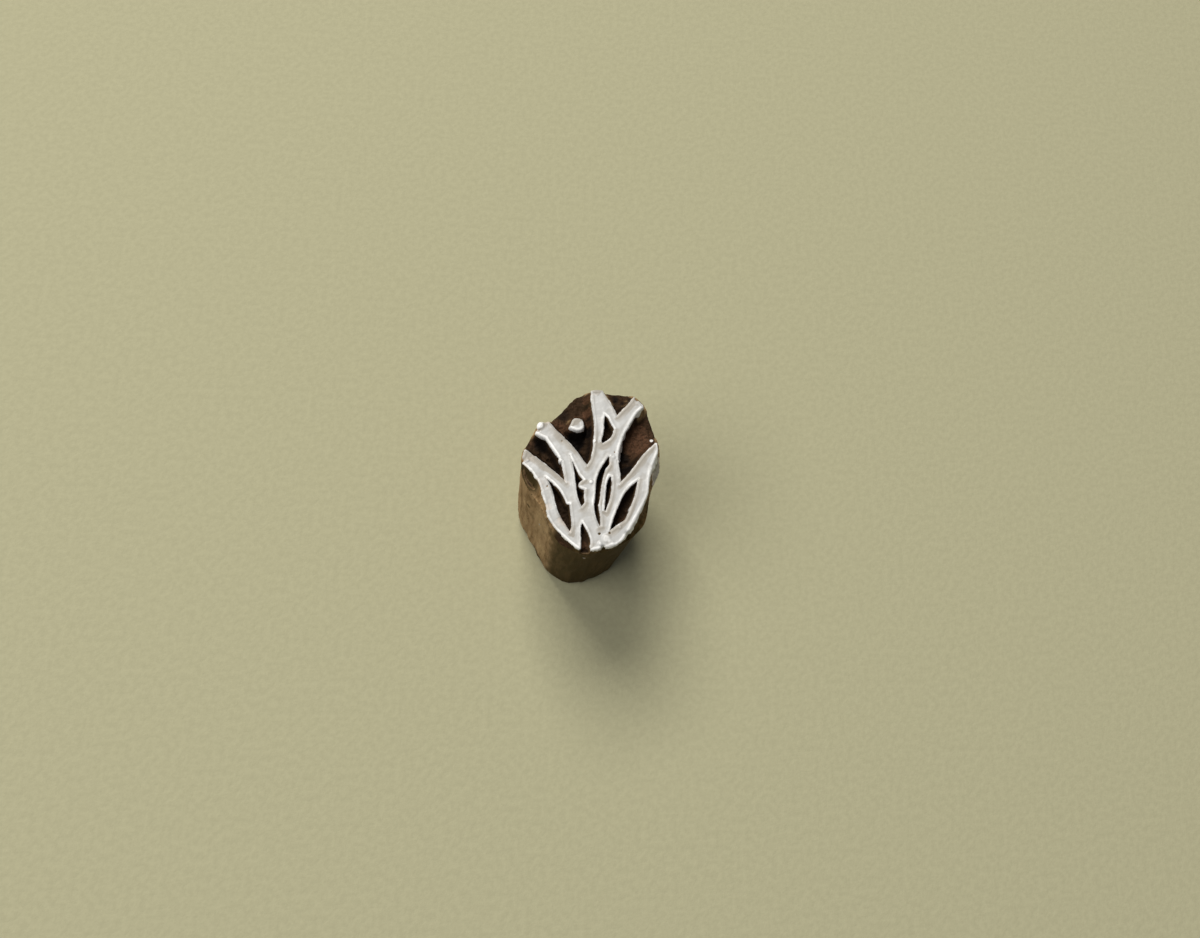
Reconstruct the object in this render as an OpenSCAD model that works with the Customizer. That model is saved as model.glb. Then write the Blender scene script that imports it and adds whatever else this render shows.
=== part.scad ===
// Hand-carved wooden printing stamp, standing on its foot with the carved face up.
// The face carries a tuft of leaves on a stem and one dot, in relief, under a coat of white paint.
// The origin is the middle of the foot, +Y runs along the stem to its tip, and +Z points up.

/* [Block] */
// Width of the block, across the stem
block_w = 28.3; // [24:0.1:34]
// Length of the block, along the stem
block_l = 34.1; // [29:0.1:40]
// Height of the wood, from the foot to the raised faces
block_h = 44.8; // [30:0.2:60]
// Radius of the worn edge round the foot
foot_edge_r = 1.4; // [0.5:0.1:2.5]

/* [Carving] */
// Depth of the wide pockets, and of the sloped shoulder round the tuft
pocket_depth = 3.6; // [2:0.1:6]
// Lean of the wide pockets' walls, and of the dot's, from the raised faces to the floor
wall_lean = 1.3; // [0.2:0.1:1.6]
// Depth of the narrow slits and eyes between the leaves
slit_depth = 3.0; // [1.5:0.1:5]
// Depth of the notch at the foot of the tuft
notch_depth = 1.9; // [1.2:0.1:5]
// Widest gap of the long slit
long_slit_w = 1.1; // [0.6:0.05:1.3]
// Widest gap of the short slit
short_slit_w = 0.95; // [0.6:0.05:1.2]
// Width of the raised dot
dot_w = 2.9; // [2:0.1:4]

/* [Paint] */
// Thickness of the dried paint
paint_t = 0.2; // [0.1:0.05:0.3]
// How far the paint wraps down the walls of the leaves
wrap_depth = 1.1; // [0.4:0.1:1.8]
// How far down the shoulder the paint run reaches, below the raised faces
run_depth = 3.2; // [2:0.1:5]
// Length of the paint run along the shoulder
run_l = 5.4; // [3:0.2:7]
// Width of the largest fleck of paint
fleck_w = 0.9; // [0.4:0.1:1.5]

/* [Hidden] */

// Points on each stretch of a curve between two given points
curve_steps = 3;
// Rings that round the edge of the foot
foot_rings = 4;
// Rings that carry the sloped shoulder past the raised faces, where it is cut off flat
shoulder_rings = 3;
shoulder_reach = 1.1;
// Rings and spokes of a gouge hollow
hollow_rings = 5;
hollow_spokes = 14;
// How far a cutting shape runs past the wood that it cuts
overshoot = 1;

wood_colour = [0.42, 0.30, 0.19];
paint_colour = [0.92, 0.91, 0.88];

// The outlines below are drawn at full size on a grid of millimetres that is seen from above.
// Stations round the block, from the left leaf's tip clockwise: the side of the block, then the edge
// that the sloped shoulder rises to at the level of the raised faces.
stations = [
    [[-13.6, 1.6], [-13.5, 1.3]],
    [[-13.5, 3.7], [-13.3, 3.1]],
    [[-12.8, 5.5], [-12.7, 4.8]],
    [[-11.3, 8.2], [-10.9, 7.9]],
    [[-10.4, 9.9], [-10.2, 9.6]],
    [[-8.2, 10.9], [-8.3, 10.3]],
    [[-5.5, 13.4], [-5.4, 12.9]],
    [[-3.1, 16.3], [-3.0, 15.8]],
    [[-0.8, 17.4], [-0.7, 16.8]],
    [[1.8, 17.8], [1.6, 17.3]],
    [[5.4, 17.8], [5.2, 17.0]],
    [[9.3, 17.3], [8.9, 16.2]],
    [[11.5, 15.5], [10.5, 14.8]],
    [[12.7, 12.4], [11.9, 12.0]],
    [[13.8, 8.9], [13.2, 8.3]],
    [[14.5, 6.5], [13.7, 5.8]],
    [[14.6, 4.0], [13.7, 4.1]],
    [[14.5, 1.3], [12.6, 1.5]],
    [[13.2, -1.7], [11.9, -1.4]],
    [[12.4, -4.4], [11.6, -4.3]],
    [[12.0, -7.3], [10.4, -7.0]],
    [[11.3, -9.8], [8.9, -9.8]],
    [[9.7, -11.7], [7.6, -12.1]],
    [[7.3, -13.7], [6.0, -14.3]],
    [[4.2, -15.3], [4.0, -15.2]],
    [[0.3, -16.2], [0.3, -16.0]],
    [[-1.6, -16.1], [-1.7, -15.9]],
    [[-3.8, -15.2], [-3.5, -14.9]],
    [[-5.8, -13.7], [-5.1, -13.4]],
    [[-7.3, -11.6], [-7.0, -11.6]],
    [[-8.5, -9.2], [-8.3, -9.2]],
    [[-9.5, -6.9], [-8.9, -6.7]],
    [[-10.8, -4.9], [-9.6, -4.4]],
    [[-12.1, -3.0], [-10.3, -2.4]],
    [[-13.2, -0.6], [-11.7, -0.4]]
];

// Pockets: each is a list of edges, and each edge is a smooth run between two sharp corners.
upper_left_pocket = [
    [[-9.6, 12.1], [-8.0, 9.9], [-7.0, 8.7], [-5.0, 6.8], [-3.0, 4.6], [-1.4, 2.5], [-0.6, 1.4]],
    [[-0.6, 1.4], [0.1, 2.7], [0.6, 5.2], [0.8, 8.5], [0.6, 11.5], [0.2, 14.5], [0.0, 19.0]],
    [[0.0, 19.0], [-9.6, 19.0]],
    [[-9.6, 19.0], [-9.6, 12.1]]
];
left_pocket = [
    [[-15.0, 5.5], [-12.9, 4.2], [-11.0, 2.9], [-9.0, 1.4], [-6.3, -0.8], [-5.1, -1.9]],
    [[-5.1, -1.9], [-5.3, -0.5], [-5.7, 1.6]],
    [[-5.7, 1.6], [-6.2, 2.0], [-6.3, 2.7], [-7.4, 4.3], [-8.8, 6.4]],
    [[-8.8, 6.4], [-10.0, 6.9], [-11.0, 7.5], [-12.9, 8.8]],
    [[-12.9, 8.8], [-15.0, 8.8]],
    [[-15.0, 8.8], [-15.0, 5.5]]
];
top_right_pocket = [
    [[1.7, 18.8], [2.9, 16.6], [3.9, 15.1], [4.8, 13.6], [5.5, 12.0]],
    [[5.5, 12.0], [6.6, 13.3], [7.9, 14.7], [8.9, 16.1], [11.0, 18.8]],
    [[11.0, 18.8], [1.7, 18.8]]
];
right_pocket = [
    [[13.4, 16.6], [10.6, 13.5], [9.3, 12.1], [8.1, 10.0], [7.0, 8.0], [6.3, 6.0]],
    [[6.3, 6.0], [5.8, 4.0], [5.8, 2.0], [6.1, 0.0], [6.1, -2.1]],
    [[6.1, -2.1], [8.1, 0.2], [9.8, 2.6], [11.2, 4.4], [13.0, 6.1], [16.0, 9.0]],
    [[16.0, 9.0], [16.0, 16.6]],
    [[16.0, 16.6], [13.4, 16.6]]
];
foot_notch = [
    [[0.0, -18.0], [0.0, -15.5], [0.1, -14.0], [-0.5, -12.2], [-1.4, -10.7]],
    [[-1.4, -10.7], [-1.7, -11.6], [-1.65, -14.5], [-1.65, -18.0]],
    [[-1.65, -18.0], [0.0, -18.0]]
];
stem_eye = [
    [[3.1, 11.7], [3.7, 11.1], [4.3, 9.9], [4.8, 9.0]],
    [[4.8, 9.0], [4.5, 7.8], [3.8, 6.8], [2.6, 6.0]],
    [[2.6, 6.0], [2.4, 6.5], [2.8, 8.3], [2.9, 10.4], [3.1, 11.7]]
];
centre_slit = [
    [[-3.4, 1.7], [-2.7, 0.2], [-2.1, -1.0], [-1.4, -1.8]],
    [[-1.4, -1.8], [-2.1, -2.4], [-2.3, -3.1], [-1.9, -3.6], [-1.1, -3.9]],
    [[-1.1, -3.9], [-1.2, -5.1], [-1.1, -6.3], [-1.6, -7.1]],
    [[-1.6, -7.1], [-2.3, -5.5], [-2.7, -3.0], [-3.0, -0.6], [-3.4, 1.7]]
];
left_eye = [
    [[-8.2, -2.1], [-7.0, -3.1], [-5.6, -4.7], [-4.6, -6.9]],
    [[-4.6, -6.9], [-4.0, -7.0]],
    [[-4.0, -7.0], [-3.8, -9.0], [-3.6, -11.0], [-3.9, -12.1]],
    [[-3.9, -12.1], [-4.9, -10.5], [-6.1, -8.6], [-6.8, -6.2], [-7.3, -4.2], [-8.2, -2.1]]
];
right_eye = [
    [[9.5, -1.8], [8.3, -2.8], [7.0, -4.3], [5.8, -6.8], [4.7, -9.6], [4.1, -11.7]],
    [[4.1, -11.7], [5.6, -10.6], [6.9, -9.6], [7.7, -8.0]],
    [[7.7, -8.0], [8.3, -6.4], [8.9, -4.7], [9.5, -1.8]]
];

// Wide pockets: the outline of each, and the ways that its two walls lean
pockets = [
    [upper_left_pocket, [40, 178]],
    [left_pocket, [53, 215]],
    [top_right_pocket, [29, 141]],
    [right_pocket, [-20, 138]]
];

// Gouge hollows in the left shoulder: the middle, the way it runs, how far its middle is below the
// raised faces as a share of the pockets' depth, and half its length, width and height
gouge_hollows = [
    [[-12.0, -1.4], -56, 0.55, [2.6, 0.9, 1.5]],
    [[-5.8, -13.2], -47, 0.6, [2.4, 0.7, 1.9]]
];

// Slits: the middle line of each, and its gap at each point as a share of the widest gap.
long_slit_line = [[3.8, 3.1], [3.4, 1.7], [2.6, 0.4], [2.0, -1.4], [1.7, -3.6], [1.5, -5.6], [1.3, -7.0],
                  [1.6, -9.2], [2.0, -11.0]];
long_slit_gap = [0.1, 0.8, 0.8, 1.0, 0.9, 0.8, 0.7, 0.7, 0.1];
short_slit_line = [[4.1, -1.1], [3.9, -2.4], [3.7, -4.2], [3.4, -6.2], [3.0, -7.9]];
short_slit_gap = [0.3, 0.9, 1.0, 0.7, 0.2];

// The dot, round its own middle, for a dot 2 wide
dot_place = [-2.6, 9.7];
dot_outline = [[0.9, 0.1], [0.7, 0.7], [0.0, 0.9], [-0.6, 0.7], [-0.9, 0.0], [-1.1, -0.4], [-0.7, -0.7],
               [-0.1, -0.9], [0.6, -0.8], [0.9, -0.4]];

// The paint run, round its own middle, for a run 2 long
run_outline = [[0.0, 1.0], [0.4, 0.7], [0.5, 0.1], [0.3, -0.5], [-0.1, -1.0], [-0.3, -0.4], [-0.4, 0.4]];
// Middle of the paint run along the shoulder
run_place = [13.5, 0.8];
// Flecks on the sides: the way each faces, how far down the block it is as a share of the block's
// height, and its width as a share
side_flecks = [[221, 0.366, 0.8], [267, 0.163, 1.0]];
// Fleck on the floor of the right pocket, by its rim
rim_fleck_place = [13.1, 7.9];
rim_fleck_share = 0.8;

// Catmull-Rom curve between b and c
function curve_point(a, b, c, d, t) =
    (2 * b + (c - a) * t + (2 * a - 5 * b + 4 * c - d) * t * t + (3 * b - a - 3 * c + d) * t * t * t) / 2;
function closed_curve(points) = let (count = len(points)) [
    for (i = [0:count - 1], step = [0:curve_steps - 1])
        curve_point(points[(i + count - 1) % count], points[i], points[(i + 1) % count],
                    points[(i + 2) % count], step / curve_steps)
];
// A run with both of its ends, as straight as it is given when it has only two points
function open_curve(points) = let (last = len(points) - 1, steps = last > 1 ? curve_steps : 1) concat(
    [for (i = [0:last - 1], step = [0:steps - 1])
        curve_point(points[max(i - 1, 0)], points[i], points[i + 1], points[min(i + 2, last)],
                    step / steps)],
    [points[last]]
);
// Edges joined at their corners, where each edge starts at the end of the one before it
function joined_edges(edges) = [
    for (edge = edges) let (run = open_curve(edge)) for (i = [0:len(run) - 2]) run[i]
];
function unit(v) = v / norm(v);
function left_normal(before, after) = let (along = unit(after - before)) [-along.y, along.x];
// A slit's outline: up one side of its middle line and down the other
function slit_outline(line, gaps, widest) = let (
    middle = open_curve(line),
    gap = open_curve([for (g = gaps) [g, 0]]),
    last = len(middle) - 1,
    side = [for (i = [0:last])
        left_normal(middle[max(i - 1, 0)], middle[min(i + 1, last)]) * gap[i].x * widest / 2]
) concat(
    [for (i = [0:last]) middle[i] + side[i]],
    [for (i = [last:-1:0]) middle[i] - side[i]]
);

// The grid's own span, which is stretched to the width and length of the block
grid_side = closed_curve([for (s = stations) s[0]]);
grid_edge = closed_curve([for (s = stations) s[1]]);
grid_low = [min([for (p = grid_side) p.x]), min([for (p = grid_side) p.y])];
grid_high = [max([for (p = grid_side) p.x]), max([for (p = grid_side) p.y])];
grid_middle = (grid_low + grid_high) / 2;
stretch = [block_w / (grid_high.x - grid_low.x), block_l / (grid_high.y - grid_low.y)];
function on_block(p) = [(p.x - grid_middle.x) * stretch.x, (p.y - grid_middle.y) * stretch.y];
function placed(points) = [for (p = points) on_block(p)];

side_ring = placed(grid_side);
edge_ring = placed(grid_edge);
ring_count = len(side_ring);
floor_z = block_h - pocket_depth;
wall_slope = wall_lean / pocket_depth;

// A clockwise ring moved outwards by a distance, or inwards by a negative one
function grown(ring, by) = let (count = len(ring)) [
    for (i = [0:count - 1])
        ring[i] + by * left_normal(ring[(i + count - 1) % count], ring[(i + 1) % count])
];
function at_height(ring, z) = [for (p = ring) [p.x, p.y, z]];

// The outside of the block: worn foot, straight side, and sloped shoulder run past the raised faces
module block_loft(skin) {
    foot = [for (i = [0:foot_rings - 1])
        let (angle = 90 * i / foot_rings)
        at_height(grown(side_ring, skin - foot_edge_r * (1 - sin(angle))),
                  foot_edge_r * (1 - cos(angle)) - skin * cos(angle))];
    low_edge = grown(side_ring, skin);
    high_edge = grown(edge_ring, skin - paint_t);
    shoulder = [for (i = [0:shoulder_rings])
        let (part = shoulder_reach * i / shoulder_rings)
        at_height(low_edge * (1 - part) + high_edge * part,
                  floor_z + (block_h + skin - floor_z) * part)];
    rings = concat(foot, [at_height(low_edge, foot_edge_r)], shoulder);
    last = len(rings) - 1;
    walls = [for (r = [0:last - 1], i = [0:ring_count - 1])
        let (j = (i + 1) % ring_count, low = r * ring_count, high = low + ring_count)
        each [[low + i, high + j, low + j], [low + i, high + i, high + j]]];
    under = [for (i = [ring_count - 1:-1:0]) i];
    top = [for (i = [0:ring_count - 1]) last * ring_count + i];
    polyhedron(points = [for (ring = rings) each ring], faces = concat([under, top], walls));
}

// A rounded hollow with its middle at the origin
module hollow(half) {
    last = hollow_rings * hollow_spokes;
    points = concat(
        [for (r = [1:hollow_rings], i = [0:hollow_spokes - 1])
            let (rise = 180 * r / (hollow_rings + 1) - 90, turn = 360 * i / hollow_spokes)
            [half.x * cos(rise) * cos(turn), half.y * cos(rise) * sin(turn), half.z * sin(rise)]],
        [[0, 0, -half.z], [0, 0, half.z]]);
    walls = [for (r = [0:hollow_rings - 2], i = [0:hollow_spokes - 1])
        let (j = (i + 1) % hollow_spokes, low = r * hollow_spokes, high = low + hollow_spokes)
        each [[low + i, high + j, low + j], [low + i, high + i, high + j]]];
    ends = [for (i = [0:hollow_spokes - 1])
        let (j = (i + 1) % hollow_spokes, top = last - hollow_spokes)
        each [[last, i, j], [last + 1, top + j, top + i]]];
    polyhedron(points = points, faces = concat(walls, ends));
}

// The whole block before its pockets are carved. A skin grows it all round, up to the painted faces
// when it is as thick as the paint.
module block_blank(skin = 0) {
    difference() {
        intersection() {
            block_loft(skin);
            translate([-block_w, -block_l, -overshoot])
                cube([2 * block_w, 2 * block_l, overshoot + block_h + skin]);
        }
        for (gouge = gouge_hollows)
            translate(concat(on_block(gouge[0]), [block_h - gouge[2] * pocket_depth]))
                rotate([0, 0, gouge[1]]) hollow(gouge[3] - [skin, skin, skin]);
    }
}

// Cuts an outline down from the raised faces. It is drawn as the outline of the painted faces, so the
// wood is cut wider by the paint's thickness.
module cut(depth, skin) {
    translate([0, 0, block_h - depth]) linear_extrude(depth + overshoot)
        offset(delta = paint_t - skin) children();
}

// Cuts an outline down to the floor with its walls leaning inwards along one way
module leaning_cut(way, skin) {
    depth = pocket_depth + overshoot;
    lean = wall_slope * [cos(way), sin(way)];
    translate([0, 0, floor_z])
        multmatrix([[1, 0, -lean.x, lean.x * depth], [0, 1, -lean.y, lean.y * depth], [0, 0, 1, 0]])
            linear_extrude(depth) offset(delta = paint_t - skin + wall_slope * overshoot) children();
}

module wide_pockets(skin = 0) {
    for (pocket = pockets)
        intersection_for(way = pocket[1])
            leaning_cut(way, skin) polygon(placed(joined_edges(pocket[0])));
}

module narrow_pockets(skin = 0) {
    cut(notch_depth, skin) polygon(placed(joined_edges(foot_notch)));
    cut(slit_depth, skin) {
        for (edges = [stem_eye, centre_slit, left_eye, right_eye]) polygon(placed(joined_edges(edges)));
        polygon(slit_outline(placed(long_slit_line), long_slit_gap, long_slit_w));
        polygon(slit_outline(placed(short_slit_line), short_slit_gap, short_slit_w));
    }
}

// The raised dot, wider at its foot
module dot_post(skin = 0) {
    depth = pocket_depth + overshoot;
    top_w = dot_w + 2 * (skin - paint_t);
    foot_w = top_w + 2 * wall_slope * depth;
    translate(concat(on_block(dot_place), [block_h - depth]))
        linear_extrude(depth + skin, scale = top_w / foot_w) polygon(closed_curve(dot_outline * foot_w / 2));
}

module bare_wood() {
    difference() {
        block_blank();
        difference() {
            wide_pockets();
            dot_post();
        }
        narrow_pockets();
    }
}

module carved_block() {
    color(wood_colour) bare_wood();
}

// Everything that the paint doesn't reach down to
module below_wrap() {
    translate([-block_w, -block_l, -overshoot])
        cube([2 * block_w, 2 * block_l, block_h - wrap_depth + overshoot]);
}

module tuft_paint() {
    color(paint_colour) difference() {
        block_blank(paint_t);
        below_wrap();
        wide_pockets(paint_t);
        narrow_pockets(paint_t);
        bare_wood();
    }
}

module dot_paint() {
    color(paint_colour) difference() {
        dot_post(paint_t);
        below_wrap();
        dot_post();
    }
}

module flank_paint_run() {
    color(paint_colour) difference() {
        intersection() {
            block_blank(paint_t);
            translate([0, 0, block_h - run_depth]) linear_extrude(run_depth - wrap_depth)
                translate(on_block(run_place)) polygon(closed_curve(run_outline * run_l / 2));
        }
        block_blank();
    }
}

module paint_flecks() {
    color(paint_colour) {
        for (fleck = side_flecks) difference() {
            intersection() {
                block_blank(paint_t);
                rotate([0, 0, fleck[0]]) translate([0, 0, block_h * (1 - fleck[1])]) rotate([0, 90, 0])
                    cylinder(h = block_w, d = fleck_w * fleck[2], $fn = 24);
            }
            block_blank();
        }
        translate(concat(on_block(rim_fleck_place), floor_z))
            cylinder(h = paint_t, d = fleck_w * rim_fleck_share, $fn = 24);
    }
}

carved_block();
tuft_paint();
dot_paint();
flank_paint_run();
paint_flecks();
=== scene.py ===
"""Dresses the hand-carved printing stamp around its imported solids.

The carved wood is one closed mesh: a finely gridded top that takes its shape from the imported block, and a
gridded side below it. The dried paint lies over it as thin closed shells. Lengths are in millimetres until
a mesh, a light or the camera is made, where MM turns them into metres.
"""

from __future__ import annotations

import logging
import math
from dataclasses import dataclass
from enum import Enum, IntEnum
from typing import Any, Sequence

import bpy
import numpy as np
from mathutils import Matrix, Vector
from mathutils.bvhtree import BVHTree


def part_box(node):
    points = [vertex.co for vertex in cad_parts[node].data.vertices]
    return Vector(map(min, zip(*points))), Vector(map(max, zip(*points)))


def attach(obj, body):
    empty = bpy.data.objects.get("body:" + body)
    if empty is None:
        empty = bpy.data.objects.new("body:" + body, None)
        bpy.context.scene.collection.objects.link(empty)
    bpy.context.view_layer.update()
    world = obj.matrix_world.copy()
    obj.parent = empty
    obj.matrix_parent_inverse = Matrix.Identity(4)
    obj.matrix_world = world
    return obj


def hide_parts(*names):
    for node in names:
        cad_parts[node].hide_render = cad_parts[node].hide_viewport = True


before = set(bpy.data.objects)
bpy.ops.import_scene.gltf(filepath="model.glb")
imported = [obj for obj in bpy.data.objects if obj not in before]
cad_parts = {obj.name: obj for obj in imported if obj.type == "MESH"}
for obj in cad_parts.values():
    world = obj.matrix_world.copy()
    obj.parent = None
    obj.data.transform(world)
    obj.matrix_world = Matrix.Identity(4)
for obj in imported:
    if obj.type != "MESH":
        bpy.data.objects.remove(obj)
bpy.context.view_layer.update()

MM = 0.001
LOG = logging.getLogger("stamp")
Colour = tuple[float, float, float]
Place = tuple[float, float, float]
Face = tuple[int, ...]
Marks = dict[str, np.ndarray]


class Lie(IntEnum):
    """How a point of the grid lies against a shape, such as the outline of the block."""

    OUTSIDE = -1
    ON_RIM = 0
    INSIDE = 1


class Part(Enum):
    """A part of the block's surface."""

    SIDE = "side"
    TOP = "top"


def smooth_step(value: np.ndarray, low: float, high: float) -> np.ndarray:
    """Eases from 0 at low to 1 at high."""
    share = np.clip((value - low) / (high - low), 0.0, 1.0)
    return share * share * (3.0 - 2.0 * share)


def soft_max(first: np.ndarray, second: np.ndarray, blend: float) -> np.ndarray:
    """The larger of two surfaces, with the crease between them filled over a width of about blend."""
    return (first + second + np.sqrt((first - second) ** 2 + blend * blend)) / 2.0


def between(ends: tuple[float, float], share: np.ndarray) -> np.ndarray:
    """A number that runs from the first of two where the share is 0 to the second where it is 1."""
    return ends[0] + (ends[1] - ends[0]) * share


def unit_rows(vectors: np.ndarray) -> np.ndarray:
    """The vectors, one in each row, made 1 long."""
    return vectors / np.maximum(np.linalg.norm(vectors, axis=1), 1e-6)[:, None]


def ripples(points: np.ndarray, wavelength: float, seed: int, waves: int = 20) -> np.ndarray:
    """Smooth, even noise about 0 with a spread of about 1, as a sum of waves in scattered directions.

    Args:
        points: places, one row each, in two or three dimensions.
        wavelength: the mean distance between crests.
        seed: picks the directions and phases.
        waves: how many waves are summed.

    Returns:
        One value for each point.
    """
    rng = np.random.default_rng(seed)
    total = np.zeros(len(points))
    for _ in range(waves):
        way = rng.normal(size=points.shape[1])
        way *= 2.0 * math.pi / (np.linalg.norm(way) * wavelength * rng.uniform(0.65, 1.5))
        total += np.cos(points @ way + rng.uniform(0.0, 2.0 * math.pi))
    return total * math.sqrt(2.0 / waves)


def spread(mask: np.ndarray) -> np.ndarray:
    """Grows a mask by one cell each way.

    Args:
        mask: a grid of true and false.

    Returns:
        The grown mask.
    """
    tall = mask.copy()
    tall[1:] |= mask[:-1]
    tall[:-1] |= mask[1:]
    wide = tall.copy()
    wide[:, 1:] |= tall[:, :-1]
    wide[:, :-1] |= tall[:, 1:]
    return wide


def open_edges(faces: Sequence[Face]) -> list[tuple[int, int]]:
    """The edges that only one of these faces has, each in that face's direction."""
    edges = {edge: None for face in faces for edge in zip(face, face[1:] + face[:1])}
    return [(a, b) for a, b in edges if (b, a) not in edges]


class Link:
    """One output of a shader node, which can be used in a sum, a product or another expression."""

    def __init__(self, net: Net, socket: bpy.types.NodeSocket) -> None:
        """Wraps an output of a node of this material."""
        self.net = net
        self.socket = socket

    def __add__(self, other: Link | float) -> Link:
        """This value plus another."""
        return self.net.maths("ADD", self, other)

    def __sub__(self, other: Link | float) -> Link:
        """This value less another."""
        return self.net.maths("SUBTRACT", self, other)

    def __rsub__(self, other: float) -> Link:
        """A number less this value."""
        return self.net.maths("SUBTRACT", other, self)

    def __mul__(self, other: Link | float) -> Link:
        """This value times another."""
        return self.net.maths("MULTIPLY", self, other)

    def __pow__(self, other: float) -> Link:
        """This value to a power."""
        return self.net.maths("POWER", self, other)

    __radd__ = __add__
    __rmul__ = __mul__


class Net:
    """The nodes of one material, and short ways to add to them."""

    def __init__(self, name: str) -> None:
        """Starts an empty material.

        Args:
            name: the material's name.
        """
        self.material = bpy.data.materials.new(name)
        self.material.use_nodes = True
        self.tree = self.material.node_tree
        self.tree.nodes.clear()

    def node(self, kind: str, settings: dict[str, Any], sockets: dict[str | int, Any]) -> bpy.types.Node:
        """Adds a node.

        Args:
            kind: the node's type, without its ShaderNode prefix.
            settings: its own properties, such as a Math node's operation, set first.
            sockets: values or links for its inputs, by name, identifier or number.

        Returns:
            The node.
        """
        made = self.tree.nodes.new("ShaderNode" + kind)
        for key, value in settings.items():
            setattr(made, key, value)
        for key, value in sockets.items():
            socket = self.find_input(made, key)
            if isinstance(value, Link):
                self.tree.links.new(value.socket, socket)
            elif isinstance(value, tuple) and socket.type == "RGBA":
                socket.default_value = (*value, 1.0)
            else:
                socket.default_value = value
        return made

    @staticmethod
    def find_input(node: bpy.types.Node, key: str | int) -> bpy.types.NodeSocket:
        """An input of a node.

        Args:
            node: the node.
            key: the input's number, or the name or identifier of one that is in use.

        Returns:
            The input.
        """
        if isinstance(key, int):
            return node.inputs[key]
        return next(s for s in node.inputs if s.enabled and key in (s.name, s.identifier))

    def link(self, node: bpy.types.Node, output: str | int = 0) -> Link:
        """An output of a node, by its number or name, for use in expressions."""
        return Link(self, node.outputs[output])

    def maths(self, operation: str, first: Link | float, second: Link | float = 0.0) -> Link:
        """Adds a Math node on two values."""
        return self.link(self.node("Math", {"operation": operation}, {0: first, 1: second}))

    def place(self) -> Link:
        """The place on the surface in the object's own frame, in millimetres."""
        coords = self.link(self.node("TexCoord", {}, {}), "Object")
        return self.stretch(coords, (1.0 / MM, 1.0 / MM, 1.0 / MM))

    def stretch(self, vector: Link, factors: Place) -> Link:
        """A vector with each of its parts times a factor."""
        return self.link(self.node("VectorMath", {"operation": "MULTIPLY"}, {0: vector, 1: factors}))

    def parts(self, vector: Link) -> tuple[Link, Link, Link]:
        """The x, y and z of a vector."""
        split = self.node("SeparateXYZ", {}, {0: vector})
        return self.link(split, 0), self.link(split, 1), self.link(split, 2)

    def noise(self, vector: Link, scale: float, detail: float = 3.0, roughness: float = 0.55,
              distortion: float = 0.0) -> Link:
        """Cloudy noise from 0 to 1 with a scale in turns a millimetre."""
        return self.link(self.node("TexNoise", {"noise_dimensions": "3D"}, {
            "Vector": vector, "Scale": scale, "Detail": detail, "Roughness": roughness,
            "Distortion": distortion}))

    def band(self, value: Link, low: float, high: float) -> Link:
        """A value eased from 0 at low to 1 at high."""
        return self.link(self.node("MapRange", {"interpolation_type": "SMOOTHSTEP"}, {
            "Value": value, "From Min": low, "From Max": high}))

    def mark(self, name: str) -> Link:
        """A number that the mesh carries at each of its points."""
        return self.link(self.node("Attribute", {"attribute_name": name}, {}), "Fac")

    def mix(self, share: Link, first: Link | Colour, second: Link | Colour) -> Link:
        """A blend of two colours, with all of the first where the share is 0."""
        made = self.node("Mix", {"data_type": "RGBA"}, {"Factor": share, "A_Color": first, "B_Color": second})
        return Link(self, next(s for s in made.outputs if s.enabled))

    def veil(self, under: Link | Colour, over: Link | Colour, value: Link, low: float, high: float,
             most: float = 1.0) -> Link:
        """Lays a colour over another where a value is high.

        Args:
            under: the colour below.
            over: the colour laid over it.
            value: what decides where it lies.
            low: the value at which it starts to show.
            high: the value at which it shows most.
            most: how much of it shows there, from 0 to 1.

        Returns:
            The blended colour.
        """
        share = self.band(value, low, high)
        return self.mix(share if most == 1.0 else share * most, under, over)

    def finish(self, colour: Link, roughness: Link | float, height: Link, depth: float,
               specular: float) -> bpy.types.Material:
        """Adds the surface shader and closes the material.

        Args:
            colour: the base colour.
            roughness: the roughness.
            height: the fine relief, from 0 to 1.
            depth: how deep that relief is, in millimetres.
            specular: how much the surface mirrors, the same all over.

        Returns:
            The material.
        """
        bump = self.link(self.node("Bump", {}, {"Strength": 1.0, "Distance": depth * MM, "Height": height}))
        shader = self.node("BsdfPrincipled", {}, {
            "Base Color": colour, "Roughness": roughness, "Normal": bump, "Specular IOR Level": specular})
        self.node("OutputMaterial", {}, {"Surface": self.link(shader)})
        return self.material


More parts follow.
